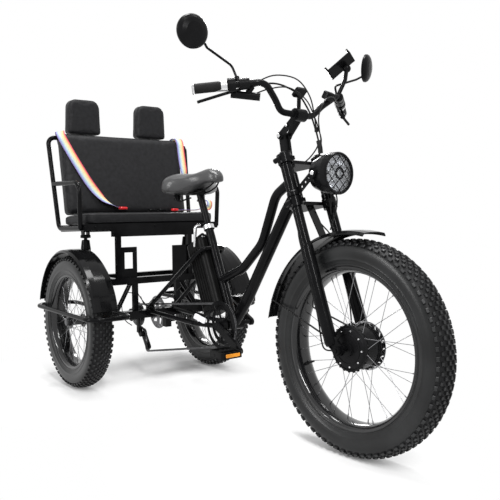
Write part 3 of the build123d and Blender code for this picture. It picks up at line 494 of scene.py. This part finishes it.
def pad_rings(outline_at, low, high, edge, steps=5):
    """Closed rings of a pad with rounded edges; outline_at(inset) gives the outline at an inset."""
    rings = []
    for k in range(steps + 1):
        a = math.radians(90 * k / steps)
        rings.append([(u, v, low + edge * (1 - math.cos(a)))
                      for u, v in outline_at(edge * (1 - math.sin(a)))])
    for k in range(steps + 1):
        a = math.radians(90 * k / steps)
        rings.append([(u, v, high - edge * (1 - math.sin(a)))
                      for u, v in outline_at(edge * (1 - math.cos(a)))])
    return rings


def puffed(item, voxel, cap, pressure, floor=None):
    """Remesh a pad and fill it with air by cloth simulation; no point moves further than the cap."""
    remesh = item.modifiers.new("remesh", "REMESH")
    remesh.mode = "VOXEL"
    remesh.voxel_size = voxel * MM
    keep_evaluated(item)
    start = [v.co.copy() for v in item.data.vertices]
    cloth = item.modifiers.new("cloth", "CLOTH")
    cloth.settings.use_pressure = True
    cloth.settings.uniform_pressure_force = pressure
    cloth.settings.effector_weights.gravity = 0
    cloth.collision_settings.use_collision = False
    for number in range(1, 21):
        bpy.context.scene.frame_set(number)
    keep_evaluated(item)
    for vertex, old in zip(item.data.vertices, start):
        move = vertex.co - old
        if move.length > cap * MM:
            vertex.co = old + move * (cap * MM / move.length)
        if floor is not None:
            vertex.co.z = max(vertex.co.z, floor)
    bpy.context.scene.frame_set(1)
    for vertex in item.data.vertices:
        vertex.co += noise.noise_vector(vertex.co * 9) * 0.0007
    divide = item.modifiers.new("divide", "SUBSURF")
    divide.levels = divide.render_levels = 1
    keep_evaluated(item)
    item.data.shade_smooth()


def piping(name, line, radius, material, body, surface):
    """Round seam cord laid on a pad's surface along a closed line."""
    places = []
    for point in line:
        found, spot, normal, face = surface.closest_point_on_mesh(point)
        places.append((spot, normal))
    rings = []
    for i, (spot, normal) in enumerate(places):
        ahead = (places[(i + 1) % len(places)][0] - places[i - 1][0]).normalized()
        side = ahead.cross(normal).normalized()
        rings.append([spot + (normal * math.cos(a) + side * math.sin(a)) * radius * MM
                      for a in (math.radians(45 * k) for k in range(8))])
    return piece(name, *skin(rings, loop=True), material, body)


def dense(outline, step=8):
    """Closed outline divided so that no edge is longer than a step."""
    points = []
    for a, b in zip(outline, outline[1:] + outline[:1]):
        a, b = Vector(a), Vector(b)
        parts = max(1, math.ceil((b - a).length / step))
        points += [a.lerp(b, i / parts) for i in range(parts)]
    return points


def bench_pad(name, outline_at, low, high, edge, place, voxel, cap, node=None, floor=None, seams=()):
    """One upholstered pad: puffed body and the piping round its edges."""
    rings = [[place(*p) for p in ring] for ring in pad_rings(outline_at, low, high, edge)]
    pad = piece(name, *skin(rings), BENCH_CLOTH, "frame", *([node] if node else []))
    puffed(pad, voxel, cap, 4, floor)
    for i, (inset, height) in enumerate(seams):
        line = [place(p.x, p.y, height) for p in dense(outline_at(inset))]
        piping(f"{name}_piping_{i + 1}", line, 1.7, BENCH_CLOTH, "frame", pad)
    return pad


SEAT_TOP = 787
SEAT_LOW = 737
SEAT_FRONT = 92
SEAT_REAR = -165
BENCH_HALF = 351


def on_seat(x, y, z):
    """Point on the seat pad, whose top and bottom fall toward the rear."""
    share = (z - SEAT_LOW) / (SEAT_TOP - SEAT_LOW)
    return at(x, y, z + (x - SEAT_FRONT) * (0.034 + 0.032 * share))


def make_bench():
    def seat(inset):
        return rounded_outline(SEAT_REAR + 3 + inset, SEAT_FRONT - 3 - inset, -BENCH_HALF + 3 + inset,
                               BENCH_HALF - 3 - inset, [54 - inset, 26 - inset, 26 - inset, 54 - inset])

    bench_pad("bench_seat_pad", seat, SEAT_LOW, SEAT_TOP - 3, 14, on_seat, 6.5, 4, "seat_cushion",
              None, seams=[(2, SEAT_TOP - 8), (2, SEAT_LOW + 5)])

    def back(inset):
        return rounded_outline(-11 + inset, 387 - inset, -BACK_HALF + 3 + inset, BACK_HALF - 3 - inset,
                               [26 - inset, 22 - inset, 22 - inset, 26 - inset])

    def back_place(u, v, w):
        return on_back(w, v, u)

    bench_pad("bench_back_pad", back, -BACK_T + 3, -5, 18, back_place, 6.5, 5, "back_cushion",
              seams=[(3, -9), (3, -BACK_T + 8)])

    def rest_place(side):
        return lambda u, v, w: at(-289 + w, side * 184 + v * (1 - 0.0005 * (u + 82)), 1257 + u)

    def rest(inset):
        return rounded_outline(-88 + inset, 81 - inset, -86 + inset, 86 - inset,
                               [40 - inset, 16 - inset, 16 - inset, 40 - inset])

    for side, label in ((-1, "right"), (1, "left")):
        nodes = "headrests" if side < 0 else None
        bench_pad(f"headrest_{label}", rest, -25, 25, 10, rest_place(side), 5, 1.6, nodes,
                  seams=[(1.5, 18), (1.5, -18)])


def make_saddle():
    """Broad rear wings that wrap down, a waist, and a nose that rises and drops at its tip."""
    stations = [(346, 84, 932, 884), (352, 108, 943, 868), (368, 126, 950, 859), (398, 133, 953, 857),
                (428, 124, 951, 861), (456, 102, 948, 870), (484, 76, 948, 882), (512, 56, 953, 893),
                (540, 44, 961, 901), (566, 39, 966, 904), (592, 36, 963, 905), (612, 30, 951, 906),
                (625, 21, 937, 908), (630, 11, 926, 912)]
    rings = []
    for x, half, top, low in stations:
        ring = []
        for k in range(28):
            a = 2 * math.pi * k / 28
            c, d = math.cos(a), math.sin(a)
            wide = half * math.copysign(abs(c) ** 0.8, c)
            if d >= 0:
                groove = 5 * math.exp(-(wide / 16) ** 2) * min(1, max(0, (500 - x) / 90))
                height = low + (top - low) * (0.32 + 0.68 * d ** 0.75) - groove
            else:
                height = low + (top - low) * 0.32 * (1 - abs(d) ** 0.55)
            ring.append(at(x, wide, height))
        rings.append(ring)
    saddle = piece("saddle_shell", *skin(rings), SADDLE_COVER, "frame", "saddle")
    divide = saddle.modifiers.new("divide", "SUBSURF")
    divide.levels = divide.render_levels = 2
    keep_evaluated(saddle)
    saddle.data.shade_smooth()


BELT_W = 42


def make_belt_material():
    material, tree, shader = new_material("belt_webbing")
    where = tree.nodes.new("ShaderNodeUVMap")
    split = tree.nodes.new("ShaderNodeSeparateXYZ")
    link(tree, where.outputs["UV"], split.inputs[0])
    stops = [(0.0, (0.16, 0.10, 0.30)), (0.12, (0.22, 0.24, 0.46)), (0.26, (0.34, 0.47, 0.58)),
             (0.42, (0.52, 0.58, 0.50)), (0.56, (0.66, 0.58, 0.34)), (0.70, (0.68, 0.52, 0.24)),
             (0.82, (0.66, 0.34, 0.16)), (0.92, (0.62, 0.06, 0.09)), (1.0, (0.50, 0.02, 0.09))]
    link(tree, ramp(tree, split.outputs["X"], stops), shader.inputs["Base Color"])
    shader.inputs["Roughness"].default_value = 0.62
    shader.inputs["Sheen Weight"].default_value = 0.1
    ribs = tree.nodes.new("ShaderNodeMath")
    ribs.operation = "MULTIPLY"
    ribs.inputs[1].default_value = 2 * math.pi
    link(tree, split.outputs["Y"], ribs.inputs[0])
    wave = tree.nodes.new("ShaderNodeMath")
    wave.operation = "SINE"
    link(tree, ribs.outputs[0], wave.inputs[0])
    bump(tree, shader, wave.outputs[0], 0.3, 0.0004)
    return material


BELT_WEBBING = make_belt_material()
BUCKLE_RED = painted("buckle_red", (0.55, 0.012, 0.016), 0.3, specular=0.5)


def strap(name, route, width, thickness, material, body, turn_over=False):
    """Flat webbing along a smooth route of (point, facing) pairs."""
    line = smooth_line([p for p, facing in route], 10)
    facings = smooth_line([Vector(facing) for p, facing in route], 10)
    rings, marks = [], []
    travelled = 0
    count = 7
    for i, (spot, facing) in enumerate(zip(line, facings)):
        ahead = (line[min(i + 1, len(line) - 1)] - line[max(i - 1, 0)]).normalized()
        out = (facing - ahead * facing.dot(ahead)).normalized()
        across = ahead.cross(out) * (-1 if turn_over else 1)
        travelled += (spot - line[max(i - 1, 0)]).length
        top = [(2 * k / (count - 1) - 1) for k in range(count)]
        ring = [spot + across * (u * width / 2 * MM) + out * ((thickness / 2 + 0.5 * (1 - u * u)) * MM)
                for u in top]
        ring += [spot + across * (u * width / 2 * MM) + out * ((-thickness / 2 + 0.5 * (1 - u * u)) * MM)
                 for u in reversed(top)]
        rings.append(ring)
        shares = [(u + 1) / 2 for u in top]
        marks += [(s, travelled / 0.0032) for s in shares + shares[::-1]]
    points, faces = skin(rings)
    belt = piece(name, points, faces, material, body)
    layer = belt.data.uv_layers.new(name="UVMap")
    for loop in belt.data.loops:
        layer.data[loop.index].uv = marks[loop.vertex_index]
    return belt


def make_belts():
    out, up = BACK_FRAME.to_3x3() @ Vector((1, 0, 0)), BACK_FRAME.to_3x3() @ Vector((0, 0, 1))
    side = Vector((0, -1, 0))
    right = [(on_back(-77, -292, 352), up - out), (on_back(-50, -310, 393), up - out * 0.3 + side * 0.2),
             (on_back(-12, -324, 391), out * 0.6 + up + side * 0.3), (on_back(4, -326, 366), out),
             (on_back(5, -306, 322), out), (on_back(5, -276, 262), out), (on_back(5, -246, 206), out),
             (on_back(5, -216, 152), out), (on_back(6, -184, 104), out + up * 0.2),
             (on_back(9, -148, 62), out + up * 0.8), (on_back(12, -108, 34), out * 0.4 + up),
             (on_back(16, -74, 17), out * 0.2 + up)]
    strap("belt_right", right, BELT_W, 1.6, BELT_WEBBING, "frame", turn_over=True)
    left = [(on_back(-77, 308, 352), up - out), (on_back(-50, 318, 393), up - out * 0.3),
            (on_back(-12, 324, 392), out * 0.6 + up), (on_back(5, 326, 366), out),
            (on_back(5, 327, 310), out), (on_back(6, 328, 250), out),
            (on_back(7, 330, 205), out - side * 0.2),
            (on_back(-2, 338, 172), out - side), (on_back(-34, 339, 150), -side),
            (on_back(-62, 336, 140), -side)]
    strap("belt_left", left, BELT_W, 1.6, BELT_WEBBING, "frame", turn_over=True)
    loop = [(at(-118, 250, 793), up), (at(-112, 300, 794), up), (at(-60, 338, 797), up + out * 0.2),
            (at(-24, 350, 822), side + up * 0.3), (at(2, 352, 844), up), (at(28, 350, 834), out + up * 0.5),
            (at(34, 344, 812), out), (at(10, 334, 796), up)]
    strap("belt_left_end", loop, BELT_W * 0.7, 1.6, BELT_WEBBING, "frame", turn_over=True)
    buckles = [(on_back(18, -52, 13), BUCKLE_RED, 42, 26), (at(-122, 236, 796), BUCKLE_RED, 36, 24),
               (at(-116, 158, 796), SATIN_BLACK, 46, 28), (at(-112, 96, 796), SATIN_BLACK, 34, 26)]
    for i, (spot, colour, long_, wide) in enumerate(buckles):
        place = axes(spot, (0.1, 0, 1), (1, 0.15, 0))
        rings = [[place @ (Vector((u, v, h)) * MM) for u, v in
                  rounded_outline(-wide / 2 + n, wide / 2 - n, -long_ / 2 + n, long_ / 2 - n, [6 - n] * 4, 3)]
                 for h, n in ((-5, 1.5), (-3.5, 0), (4, 0), (6, 2))]
        piece(f"belt_buckle_{i + 1}", *skin(rings), colour, "frame")


make_bench()
make_saddle()
make_belts()


# ---------------------------------------------------------------- tyres
TREAD = 5.5


def carcass(outer_r, bead_r, w):
    """Radius of the tyre's casing over a place across it."""
    middle = (outer_r + bead_r) / 2
    return middle + (outer_r - TREAD - middle) * (1 - min(1, abs(w) / (TYRE_W / 2)) ** 2.4) ** (1 / 2.4)


def make_tyre(name, node, body, centre, axis, outer_r, bead_r):
    """Casing with moulded sidewall lines and staggered rows of tread blocks."""
    half = TYRE_W / 2
    middle = (outer_r + bead_r) / 2
    outline = [(bead_r + 0.6, 36), (bead_r + 0.8, 40.5), (bead_r + 4, 42.2), (bead_r + 5, 43.4), (bead_r + 7, 43.4),
               (bead_r + 8, 42.6), (bead_r + 14, 44.6), (bead_r + 22, 46.6), (bead_r + 23, 47.4), (bead_r + 24.5, 47.4),
               (bead_r + 25.5, 47.0), (bead_r + 34, 48.4), (middle, half)]
    for k in range(1, 12):
        w = half * math.cos(math.radians(90 * k / 12)) ** (1 / 1.2)
        outline.append((carcass(outer_r, bead_r, w), w))
    outline.append((outer_r - TREAD, 0))
    outline += [(r, -w) for r, w in reversed(outline[:-1])]
    place = axes(centre, axis)
    parts = [lathe(outline, place, 144)]
    count = round(2 * math.pi * outer_r / 29.5)
    for row, w in enumerate((-41, -30, -18, -6, 6, 18, 30, 41)):
        edge_row = abs(w) > 35
        r = carcass(outer_r, bead_r, w)
        slope = (carcass(outer_r, bead_r, w + 0.5) - carcass(outer_r, bead_r, w - 0.5))
        normal = Vector((1, -slope)).normalized()
        along = Vector((slope, 1)).normalized()
        height = 6.5 if edge_row else TREAD
        long_, wide = (14, 9) if edge_row else (11, 7.5)
        for k in range(count):
            turn = 2 * math.pi * (k + 0.5 * (row % 2)) / count
            rings = []
            for lift, shrink in ((-2, 1.12), (height - 1.3, 1.0), (height, 0.78)):
                ring = []
                for s, t in ((-1, -1), (1, -1), (1, 1), (-1, 1)):
                    radius = r + normal.x * lift + along.x * t * wide / 2 * shrink
                    width = w + normal.y * lift + along.y * t * wide / 2 * shrink
                    a = turn + s * long_ / 2 * shrink / r
                    ring.append(place @ (Vector((radius * math.cos(a), radius * math.sin(a), width)) * MM))
                rings.append(ring)
            points, faces = skin(rings, ends=False)
            faces.append((8, 9, 10, 11))
            parts.append((points, faces))
    tyre = piece(name, *merge(parts), TYRE_RUBBER, body, node, crease=40)
    tyre.data.materials.append(TREAD_BASE)
    tyre.data.materials.append(TREAD_TOP_AND_PAINTED_EDGE_HIGHLIGHT)
    casing = len(parts[0][1])
    into = place.inverted()
    for face in tyre.data.polygons:
        if face.index < casing:
            face.material_index = 1 if abs((into @ face.center).z) < 44 * MM and \
                (into @ face.center).xy.length > (outer_r - 24) * MM else 0
        else:
            # knob sides take the darker tread rubber; bevelled edges and tops take the lighter one, which is a painted
            # highlight on the edges
            face.material_index = 1 if (face.index - casing) % 9 < 4 else 2


REAR_RIGHT_HUB = at(0, -TRACK / 2, REAR_TYRE_R)
REAR_LEFT_HUB = at(0, TRACK / 2, REAR_TYRE_R)
make_tyre("treaded_tyre_front", "front_tyre", "front_wheel", FRONT_HUB, LEFT_OF_FORK, FRONT_TYRE_R, FRONT_BEAD_R)
make_tyre("treaded_tyre_rear_right", "tyre_rear_right", "rear_right_wheel", REAR_RIGHT_HUB, (0, 1, 0),
          REAR_TYRE_R, REAR_BEAD_R)
make_tyre("treaded_tyre_rear_left", "tyre_rear_left", "rear_left_wheel", REAR_LEFT_HUB, (0, 1, 0),
          REAR_TYRE_R, REAR_BEAD_R)



# ---------------------------------------------------------------- rims, spokes and motor
def tube(points, radius, steps=8, ends=True):
    """Round bar of a given radius in millimetres through points in metres."""
    rings = []
    side = None
    for i, spot in enumerate(points):
        ahead = (points[min(i + 1, len(points) - 1)] - points[max(i - 1, 0)]).normalized()
        hint = side if side else (Vector((0, 0, 1)) if abs(ahead.z) < 0.9 else Vector((1, 0, 0)))
        side = (hint - ahead * hint.dot(ahead)).normalized()
        other = ahead.cross(side)
        rings.append([spot + (side * math.cos(a) + other * math.sin(a)) * radius * MM
                      for a in (2 * math.pi * k / steps for k in range(steps))])
    return skin(rings, ends)


def domed(centre, axis, radius, height, steps=20):
    """Low domed bolt head or cap."""
    outline = [(0.01, 0), (radius, 0), (radius, height * 0.6), (radius * 0.75, height), (0.01, height)]
    return lathe(outline, axes(centre, axis), steps)


def rim_outline(bead_r):
    """Closed outline of a wide hollow-looking rim with thin flanges and a stepped well."""
    right = [(bead_r + 0.4, 37.5), (bead_r + 0.4, 40), (bead_r - 6, 40.4), (bead_r - 9, 38.5), (bead_r - 13, 32),
             (bead_r - 17, 25), (bead_r - 20, 13)]
    inner = [(bead_r - 17, 12), (bead_r - 13, 24), (bead_r - 9, 30), (bead_r - 5, 36)]
    inner_left = [(r, -w) for r, w in reversed(inner)]
    return right + [(r, -w) for r, w in reversed(right)] + inner_left + inner


SPOKE_R = 1.0
NIPPLE_R = 2.2
VALVE_ANGLE = 248


def laced(place, count, hub_r, flange, rim_r, rim_y, lead):
    """Thin crossed spokes with a nipple at each rim end."""
    bars = []
    for i in range(count):
        side = 1 if i % 2 else -1
        turn = 1 if (i // 2) % 2 else -1
        a = 2 * math.pi * i / count
        b = a + math.radians(turn * lead)
        start = Vector((hub_r * math.cos(b), hub_r * math.sin(b), side * flange + 1.4 * turn))
        end = Vector((rim_r * math.cos(a), rim_r * math.sin(a), side * rim_y))
        neck = end.lerp(start, 12 / (end - start).length)
        bars.append(tube([place @ (p * MM) for p in (start, end)], SPOKE_R, 6))
        bars.append(tube([place @ (p * MM) for p in (neck, end)], NIPPLE_R, 6))
    return merge(bars)


def make_rim(label, node, body, centre, axis, bead_r, lacing, hub=None):
    """Rim, spokes and valve; the rim stands for the CAD wheel."""
    place = axes(centre, axis)
    parts = [lathe(rim_outline(bead_r), place, 144)]
    if hub:
        parts.append(lathe(hub, place, 64))
    rim = piece(f"rim_{label}", *merge(parts), RIM_BLACK, body, node)
    piece(f"spokes_{label}", *laced(place, *lacing), SPOKE_STEEL, body)
    a = math.radians(VALVE_ANGLE)
    foot, tip = (place @ (Vector((r * math.cos(a), r * math.sin(a), 0)) * MM)
                 for r in (bead_r - 19, bead_r - 58))
    valve = merge([tube([foot, tip], 3.2, 10), tube([foot, foot.lerp(tip, 0.25)], 5.5, 10)])
    piece(f"valve_{label}", *valve, CABLE_BLACK, body)


# outline of a rear hub (radius, distance from its middle) and each wheel's lacing:
# spokes, hub radius, flange, rim radius, rim offset, lead in degrees
SPOKES = 36
REAR_HUB = [(10, -42), (20, -42), (20, -34), (30, -33), (30, -29), (19, -27), (17, 0), (19, 27),
            (30, 29), (30, 33), (20, 34), (20, 42), (10, 42)]
FRONT_LACING = (SPOKES, 72, 34, FRONT_BEAD_R - 18, 12, 24)
REAR_LACING = (SPOKES, 27, 31, REAR_BEAD_R - 18, 12, 62)
make_rim("front", "front_rim", "front_wheel", FRONT_HUB, LEFT_OF_FORK, FRONT_BEAD_R, FRONT_LACING)
make_rim("rear_right", "wheel_rear_right", "rear_right_wheel", REAR_RIGHT_HUB, (0, 1, 0), REAR_BEAD_R,
         REAR_LACING, REAR_HUB)
make_rim("rear_left", "wheel_rear_left", "rear_left_wheel", REAR_LEFT_HUB, (0, 1, 0), REAR_BEAD_R,
         REAR_LACING, REAR_HUB)


def make_motor_trim():
    """Cover screws and raised ribs of the hub motor, on both sides."""
    place = axes(FRONT_HUB, LEFT_OF_FORK)
    screws, ribs = [], []
    for side in (-1, 1):
        for k in range(9):
            a = math.radians(40 * k + 10)
            spot = place @ (Vector((58 * math.cos(a), 58 * math.sin(a), side * 42)) * MM)
            screws.append(domed(spot, LEFT_OF_FORK * side, 3.6, 3.4, 14))
        ribs.append(lathe([(50, side * 42.6), (50, side * 44.6), (47, side * 45), (47, side * 42.6)],
                          place, 72))
        ribs.append(lathe([(69.5, side * 24), (69.5, side * 27), (72.5, side * 26.5), (72.5, side * 24.5)],
                          place, 72))
    for k in range(24):
        a = math.radians(15 * k)
        for face in (1, -1):
            ribs.append(tube([place @ (Vector((74.2 * math.cos(a), 74.2 * math.sin(a), face * w)) * MM)
                              for w in (31.5, 36.5)], 3.4, 8))
    piece("motor_screws", *merge(screws), CHROME, "front_wheel")
    piece("motor_ribs", *merge(ribs), MOTOR_BLACK, "front_wheel")


make_motor_trim()


# ---------------------------------------------------------------- lamp, bar and frame trim
def make_lamp_inside():
    """Reflector bowl behind the lamp's glass, with its light source."""
    axis = STEER.to_3x3() @ Vector((0.9348, 0, -0.3551))
    place = axes(steer(196.8, 0, 560.3), axis)
    bowl = [(58, -3), (50, -24), (38, -42), (22, -54), (14, -56), (14, -58), (23, -56.5),
            (40, -44), (52, -25), (59.5, -3)]
    piece("lamp_reflector", *lathe(bowl, place, 96), CHROME, "steering")
    led = merge([lathe([(0.01, -57), (14, -57), (14, -30), (11, -24), (0.01, -22)], place, 40),
                 lathe([(17, -12), (20, -12), (20, -4), (17, -4)], place, 40)])
    piece("lamp_source", *led, LED_WHITE, "steering")


def grip_point(side, distance):
    """Point on a grip's centre line, measured inward from the bar's end."""
    inward = Vector((144, -187, -24)).normalized() * distance
    spot = Vector((12, 363, 918)) + inward
    return steer(spot.x, side * spot.y, spot.z)


def make_grip_trim():
    silver = []
    for side in (-1, 1):
        axis = grip_point(side, 100) - grip_point(side, 0)
        place = axes(grip_point(side, 0), axis)
        silver.append(lathe([(9, -2.5), (17.6, -2), (18, 0), (18, 4), (16.5, 5), (9, 5)], place, 48))
        rings = []
        for k in range(48):
            a = 2 * math.pi * k / 48
            near = 92 - 20 * max(0, math.cos(2 * a)) ** 2
            rings.append([place @ (Vector((r * math.cos(a), r * math.sin(a), h)) * MM)
                          for r, h in ((16.4, near), (17.4, near + 1), (17.6, 112), (16.4, 113))])
        silver.append(skin(rings, loop=True))
    piece("grip_silver", *merge(silver), CHROME, "steering")


def make_cables():
    """Loose runs of the brake, shift and lamp leads round the head of the machine."""
    front = [
        ((98, -214, 886), (124, -170, 915), (160, -120, 925), (192, -60, 900), (194, -22, 840), (178, -8, 770),
         (168, -5, 720), (160, -6, 680), (128, -18, 652), (92, -26, 640)),
        ((98, -196, 872), (140, -150, 880), (178, -96, 872), (192, -44, 828), (184, -14, 770), (171, 6, 725),
         (166, 8, 690), (140, 6, 650), (96, 20, 634)),
        ((96, 236, 890), (136, 190, 872), (176, 120, 868), (188, 60, 842), (180, 16, 784), (172, 8, 735),
         (165, 10, 700), (150, 12, 660)),
        ((150, 10, 530), (140, 14, 500), (130, 10, 470), (136, -4, 440), (146, -8, 470), (150, -10, 528)),
        ((158, 16, 528), (156, 22, 490), (140, 20, 452), (120, 14, 420), (104, 8, 396)),
    ]
    runs = [tube(smooth_line([steer(*p) for p in line], 6), 2.3, 8) for line in front]
    runs.append(tube(smooth_line([steer(*p) for p in ((166, 2, 742), (163, 1, 728))], 3), 7, 10))
    runs.append(tube(smooth_line([steer(*p) for p in ((162, 0, 694), (161, 0, 672), (157, 0, 652))], 4), 8.5, 12))
    piece("steering_leads", *merge(runs), CABLE_BLACK, "steering")
    rear = [
        ((10, -84, 404), (-60, -86, 398), (-92, -88, 360), (-97, -86, 318),
         (-90, -84, 282), (-60, -82, 258), (-8, -80, 246)),
        ((60, -90, 424), (100, -92, 396), (150, -88, 366), (196, -70, 352)),
        ((96, -86, 396), (130, -84, 360), (160, -82, 366), (200, -80, 390),
         (260, -76, 404), (330, -70, 414), (420, -62, 470)),
    ]
    piece("rear_leads", *merge([tube(smooth_line([at(*p) for p in line], 6), 2.2, 8) for line in rear]),
          CABLE_BLACK, "frame")


def box_piece(name, place, size, radius, material, body, bevel=1.0):
    """Softly edged block in a matrix's frame; size and radius in millimetres."""
    x, y, z = (v / 2 for v in size)
    rings = [[place @ (Vector((u, v, h)) * MM) for u, v in
              rounded_outline(-x + n, x - n, -y + n, y - n, [max(radius - n, 0.3)] * 4, 4)]
             for h, n in ((-z, bevel), (-z + bevel, 0), (z - bevel, 0), (z, bevel))]
    return piece(name, *skin(rings), material, body)


def make_trim():
    for label, joint in (("right", "right_pedal_spin"), ("left", "left_pedal_spin")):
        spot = Vector(JOINTS[joint]["pos_m"])
        for end in (-1, 1):
            place = axes(spot + Vector((end * 46.4, 0, 0)) * MM, (end, 0, 0), (0, 0, 1))
            box_piece(f"pedal_reflector_{label}_{'front' if end > 0 else 'rear'}", place, (13, 62, 4), 2,
                      REFLECTOR_AMBER, f"{label}_pedal")
    place = axes(at(604, -88, 356), (0.5, -1, 0.1), (0.94, 0, -0.3))
    box_piece("frame_reflector", place, (56, 22, 8), 5, REFLECTOR_CLEAR, "frame")
    along = Vector((-math.cos(math.radians(65.4)), 0, math.sin(math.radians(65.4))))
    low = at(548.2, 0, 712)
    clamp = lathe([(21, 1), (22.8, 1), (22.8, 19), (21, 19)], axes(low, along), 48)
    lever = tube([at(522.2, -30, 730), at(522.2, -44, 730), at(521, -50, 724), at(518, -52, 700),
                  at(514.2, -52, 642)], 5.4, 12)
    piece("seat_quick_release", *merge([clamp, lever]), CHROME, "frame")
    rails = []
    for side in (-1, 1):
        rails.append(tube(smooth_line([at(600, side * 12, 905), at(572, side * 18, 888), at(520, side * 22, 872),
                                       at(470, side * 24, 866), at(430, side * 40, 868), at(392, side * 62, 872)], 6),
                          3.4, 10))
        coil = [at(398, side * 62, 836 + 0.5 * k) + Vector((math.cos(0.6 * k), math.sin(0.6 * k), 0)) * 0.013
                for k in range(64)]
        rails.append(tube(coil, 2.3, 6))
        rails.append(tube([at(398, side * 62, 834), at(398, side * 40, 834), at(440, side * 20, 846)], 3.4, 8))
    piece("saddle_rails", *merge(rails), SATIN_BLACK, "frame")
    bolts = []
    for x, y, z in ((228, -98, 317), (291, -90, 325), (-60, -LOOP_SIDE, 713),
                    (40, -LOOP_SIDE, 716), (-165, -LOOP_SIDE, 710)):
        bolts.append(domed(at(x, y, z), (0, -1, 0), 5, 4))
    for x, y, z in ((92.5, -300, 722), (92.5, 0, 722), (92.5, 300, 722)):
        bolts.append(domed(at(x, y, z), (1, 0, 0), 4.5, 3.5))
    piece("frame_bolts", *merge(bolts), SATIN_BLACK, "frame")
    pins = [domed(steer(16, side * 28, 782), LEFT_OF_FORK * side, 7.5, 5) for side in (-1, 1)]
    pins += [domed(steer(60, side * 24, 800), LEFT_OF_FORK * side, 5, 4) for side in (-1, 1)]
    pins += [domed(steer(165, side * 75, 572), LEFT_OF_FORK * side, 8, 6) for side in (-1, 1)]
    piece("steering_bolts", *merge(pins), CHROME, "steering")
    pod = axes(steer(150, 132, 886), STEER.to_3x3() @ Vector((0.75, 0.1, 0.65)),
               STEER.to_3x3() @ Vector((0.4, 0.8, 0.4)))
    box_piece("light_switch", pod, (46, 30, 26), 6, SATIN_BLACK, "steering")
    ribs = [tube([pod @ (Vector((u, v, 13.5)) * MM) for v in (-12, 12)], 1.6, 8)
            for u in (-18, -12, -6, 0, 6, 12, 18)]
    piece("light_switch_ribs", *merge(ribs), SATIN_BLACK, "steering")


make_lamp_inside()
make_grip_trim()
make_cables()
make_trim()
